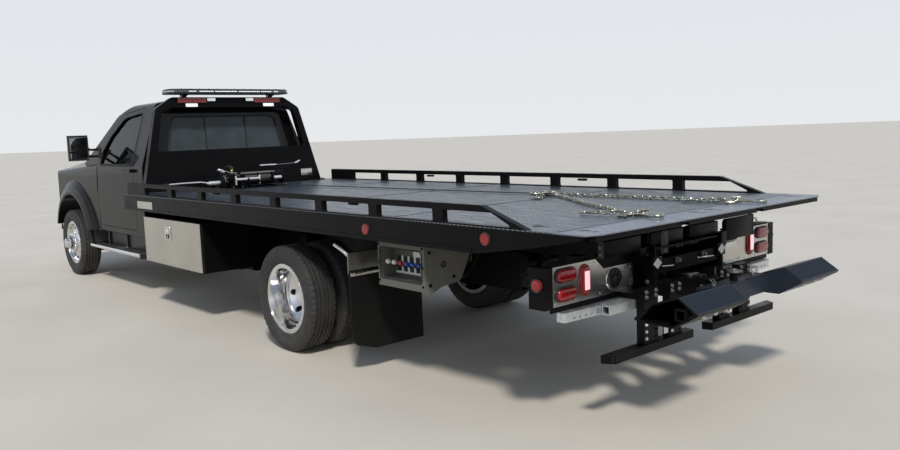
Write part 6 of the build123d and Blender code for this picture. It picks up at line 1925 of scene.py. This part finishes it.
def make_cab_trim():
    """Rear window seal and bars, wipers with their arms, and the splash plates by the front wheels."""
    trim = Piece("cab_trim", "chassis", "black_plastic")
    outline = [(cab_back_x(z) - 0.0006, y, z) for y, z in filleted(REAR_WINDOW)]
    trim.tube("dull_black", outline, 0.0075, 8, closed=True)
    cab = node_tree("cab_shell", "cab_glass")
    for side in (1, -1):
        bar = [(cab_back_x(z) + 0.01, side * 0.235, z) for z in (1.35, 1.825)]
        trim.tube("dull_black", bar, 0.006, 8)
        pivot_y = side * 0.18 + 0.28
        blade = []
        for k in range(7):
            t = k / 6
            spot, normal = front_of(cab, pivot_y - 0.1 - 0.32 * t, 1.405 + 0.09 * t)
            blade.append(spot + normal * 0.01)
        trim.tube("dull_black", blade, 0.0055, 8)
        heel, _ = front_of(cab, pivot_y, 1.375)
        arm = [heel + Vector((0.01, 0, 0.006)), blade[1] + Vector((0.012, 0, 0.01)),
               blade[3] + Vector((0.01, 0, 0.008))]
        trim.tube("black_plastic", arm, [0.0105, 0.0085, 0.006], 8)
        trim.box("dull_black", (4.618, 4.64), (side * 0.56, side * 0.975), (0.432, 0.64), 0.004)
    trim.make()


def add_front_lamp(trim, tree, y, z, look, ring, size, profile):
    """Ring and lens that lie on the surface of a CAD node."""
    spot, normal = front_of(tree, y, z)
    trim.ring(ring, spot, normal, size, 0.0065 if ring == "chrome" else 0.006, 36, 8)
    trim.lathe(look, profile, spot, normal, 32)


def make_front_trim():
    """Grille mesh, lamp rings, fog lamps and tow hooks at the front."""
    trim = Piece("front_trim", "chassis", "chrome")
    for i in range(31):
        y = -0.585 + 0.039 * i
        trim.tube("dull_black", [(6.012, y, 0.88), (6.012, y, 1.18)], 0.0035, 6)
    for i in range(12):
        z = 0.89 + 0.0258 * i
        trim.tube("dull_black", [(6.014, -0.588, z), (6.014, 0.588, z)], 0.0032, 6)
    lamps = node_tree("headlamps")
    bumper = node_tree("front_bumper")
    for side in (1, -1):
        for y, z, size, look in ((0.705, 1.12, 0.046, "clear_lens"), (0.815, 1.115, 0.046, "clear_lens"),
                                 (0.76, 0.995, 0.04, "amber_lens")):
            profile = [(size - 0.006, -0.002), (size - 0.01, 0.004), (size * 0.55, 0.009), (0, 0.011)]
            add_front_lamp(trim, lamps, side * y, z, look, "chrome", size, profile)
        add_front_lamp(trim, bumper, side * 0.8, 0.6, "clear_lens", "dull_black", 0.052,
                       [(0.048, -0.002), (0.044, 0.003), (0.024, 0.007), (0, 0.008)])
        y = side * 0.3
        hook = [(6.08, y, 0.615), (6.135, y, 0.612), (6.16, y, 0.585), (6.14, y, 0.56), (6.105, y, 0.563)]
        trim.tube("satin_black", smooth_path(hook, 5), 0.011, 12)
    trim.make()


def make_blank_plates():
    """Blank plates on the deck's sides, near the cab."""
    plates = Piece("blank_plates", "deck", "stainless")
    for side in (1, -1):
        plates.box("tail_stainless", (2.252, 2.61), (side * 1.2075, side * 1.2105), (0.948, 1.018), 0.0009,
                   segments=1)
        corners = [(x, side * 1.2105, z) for x in (2.262, 2.6) for z in (0.957, 1.009)]
        plates.rivets("chrome", corners, (0, side, 0), 0.0035)
    plates.make()


make_seats()
make_cab_interior()
make_door_trim()
make_cab_trim()
make_front_trim()
make_blank_plates()


def make_floor():
    """Pale floor that is far larger than the truck."""
    s = Shader("floor", (0.6, 0.56, 0.49), roughness=0.9)
    s.mottled((0.8, 6), (0.3, 0.7), (0.57, 0.53, 0.465), (0.63, 0.59, 0.52))
    s.bump(s.noise(60, 4), 0.002, 0.4)
    mesh = bpy.data.meshes.new("floor")
    half = 400
    corners = [(-half, -half, 0), (half, -half, 0), (half, half, 0), (-half, half, 0)]
    mesh.from_pydata(corners, [], [(0, 1, 2, 3)])
    floor = bpy.data.objects.new("floor", mesh)
    floor.location.z = CAD_BOX[0].z - 0.0005
    floor.data.materials.append(s.material)
    bpy.context.scene.collection.objects.link(floor)


make_floor()
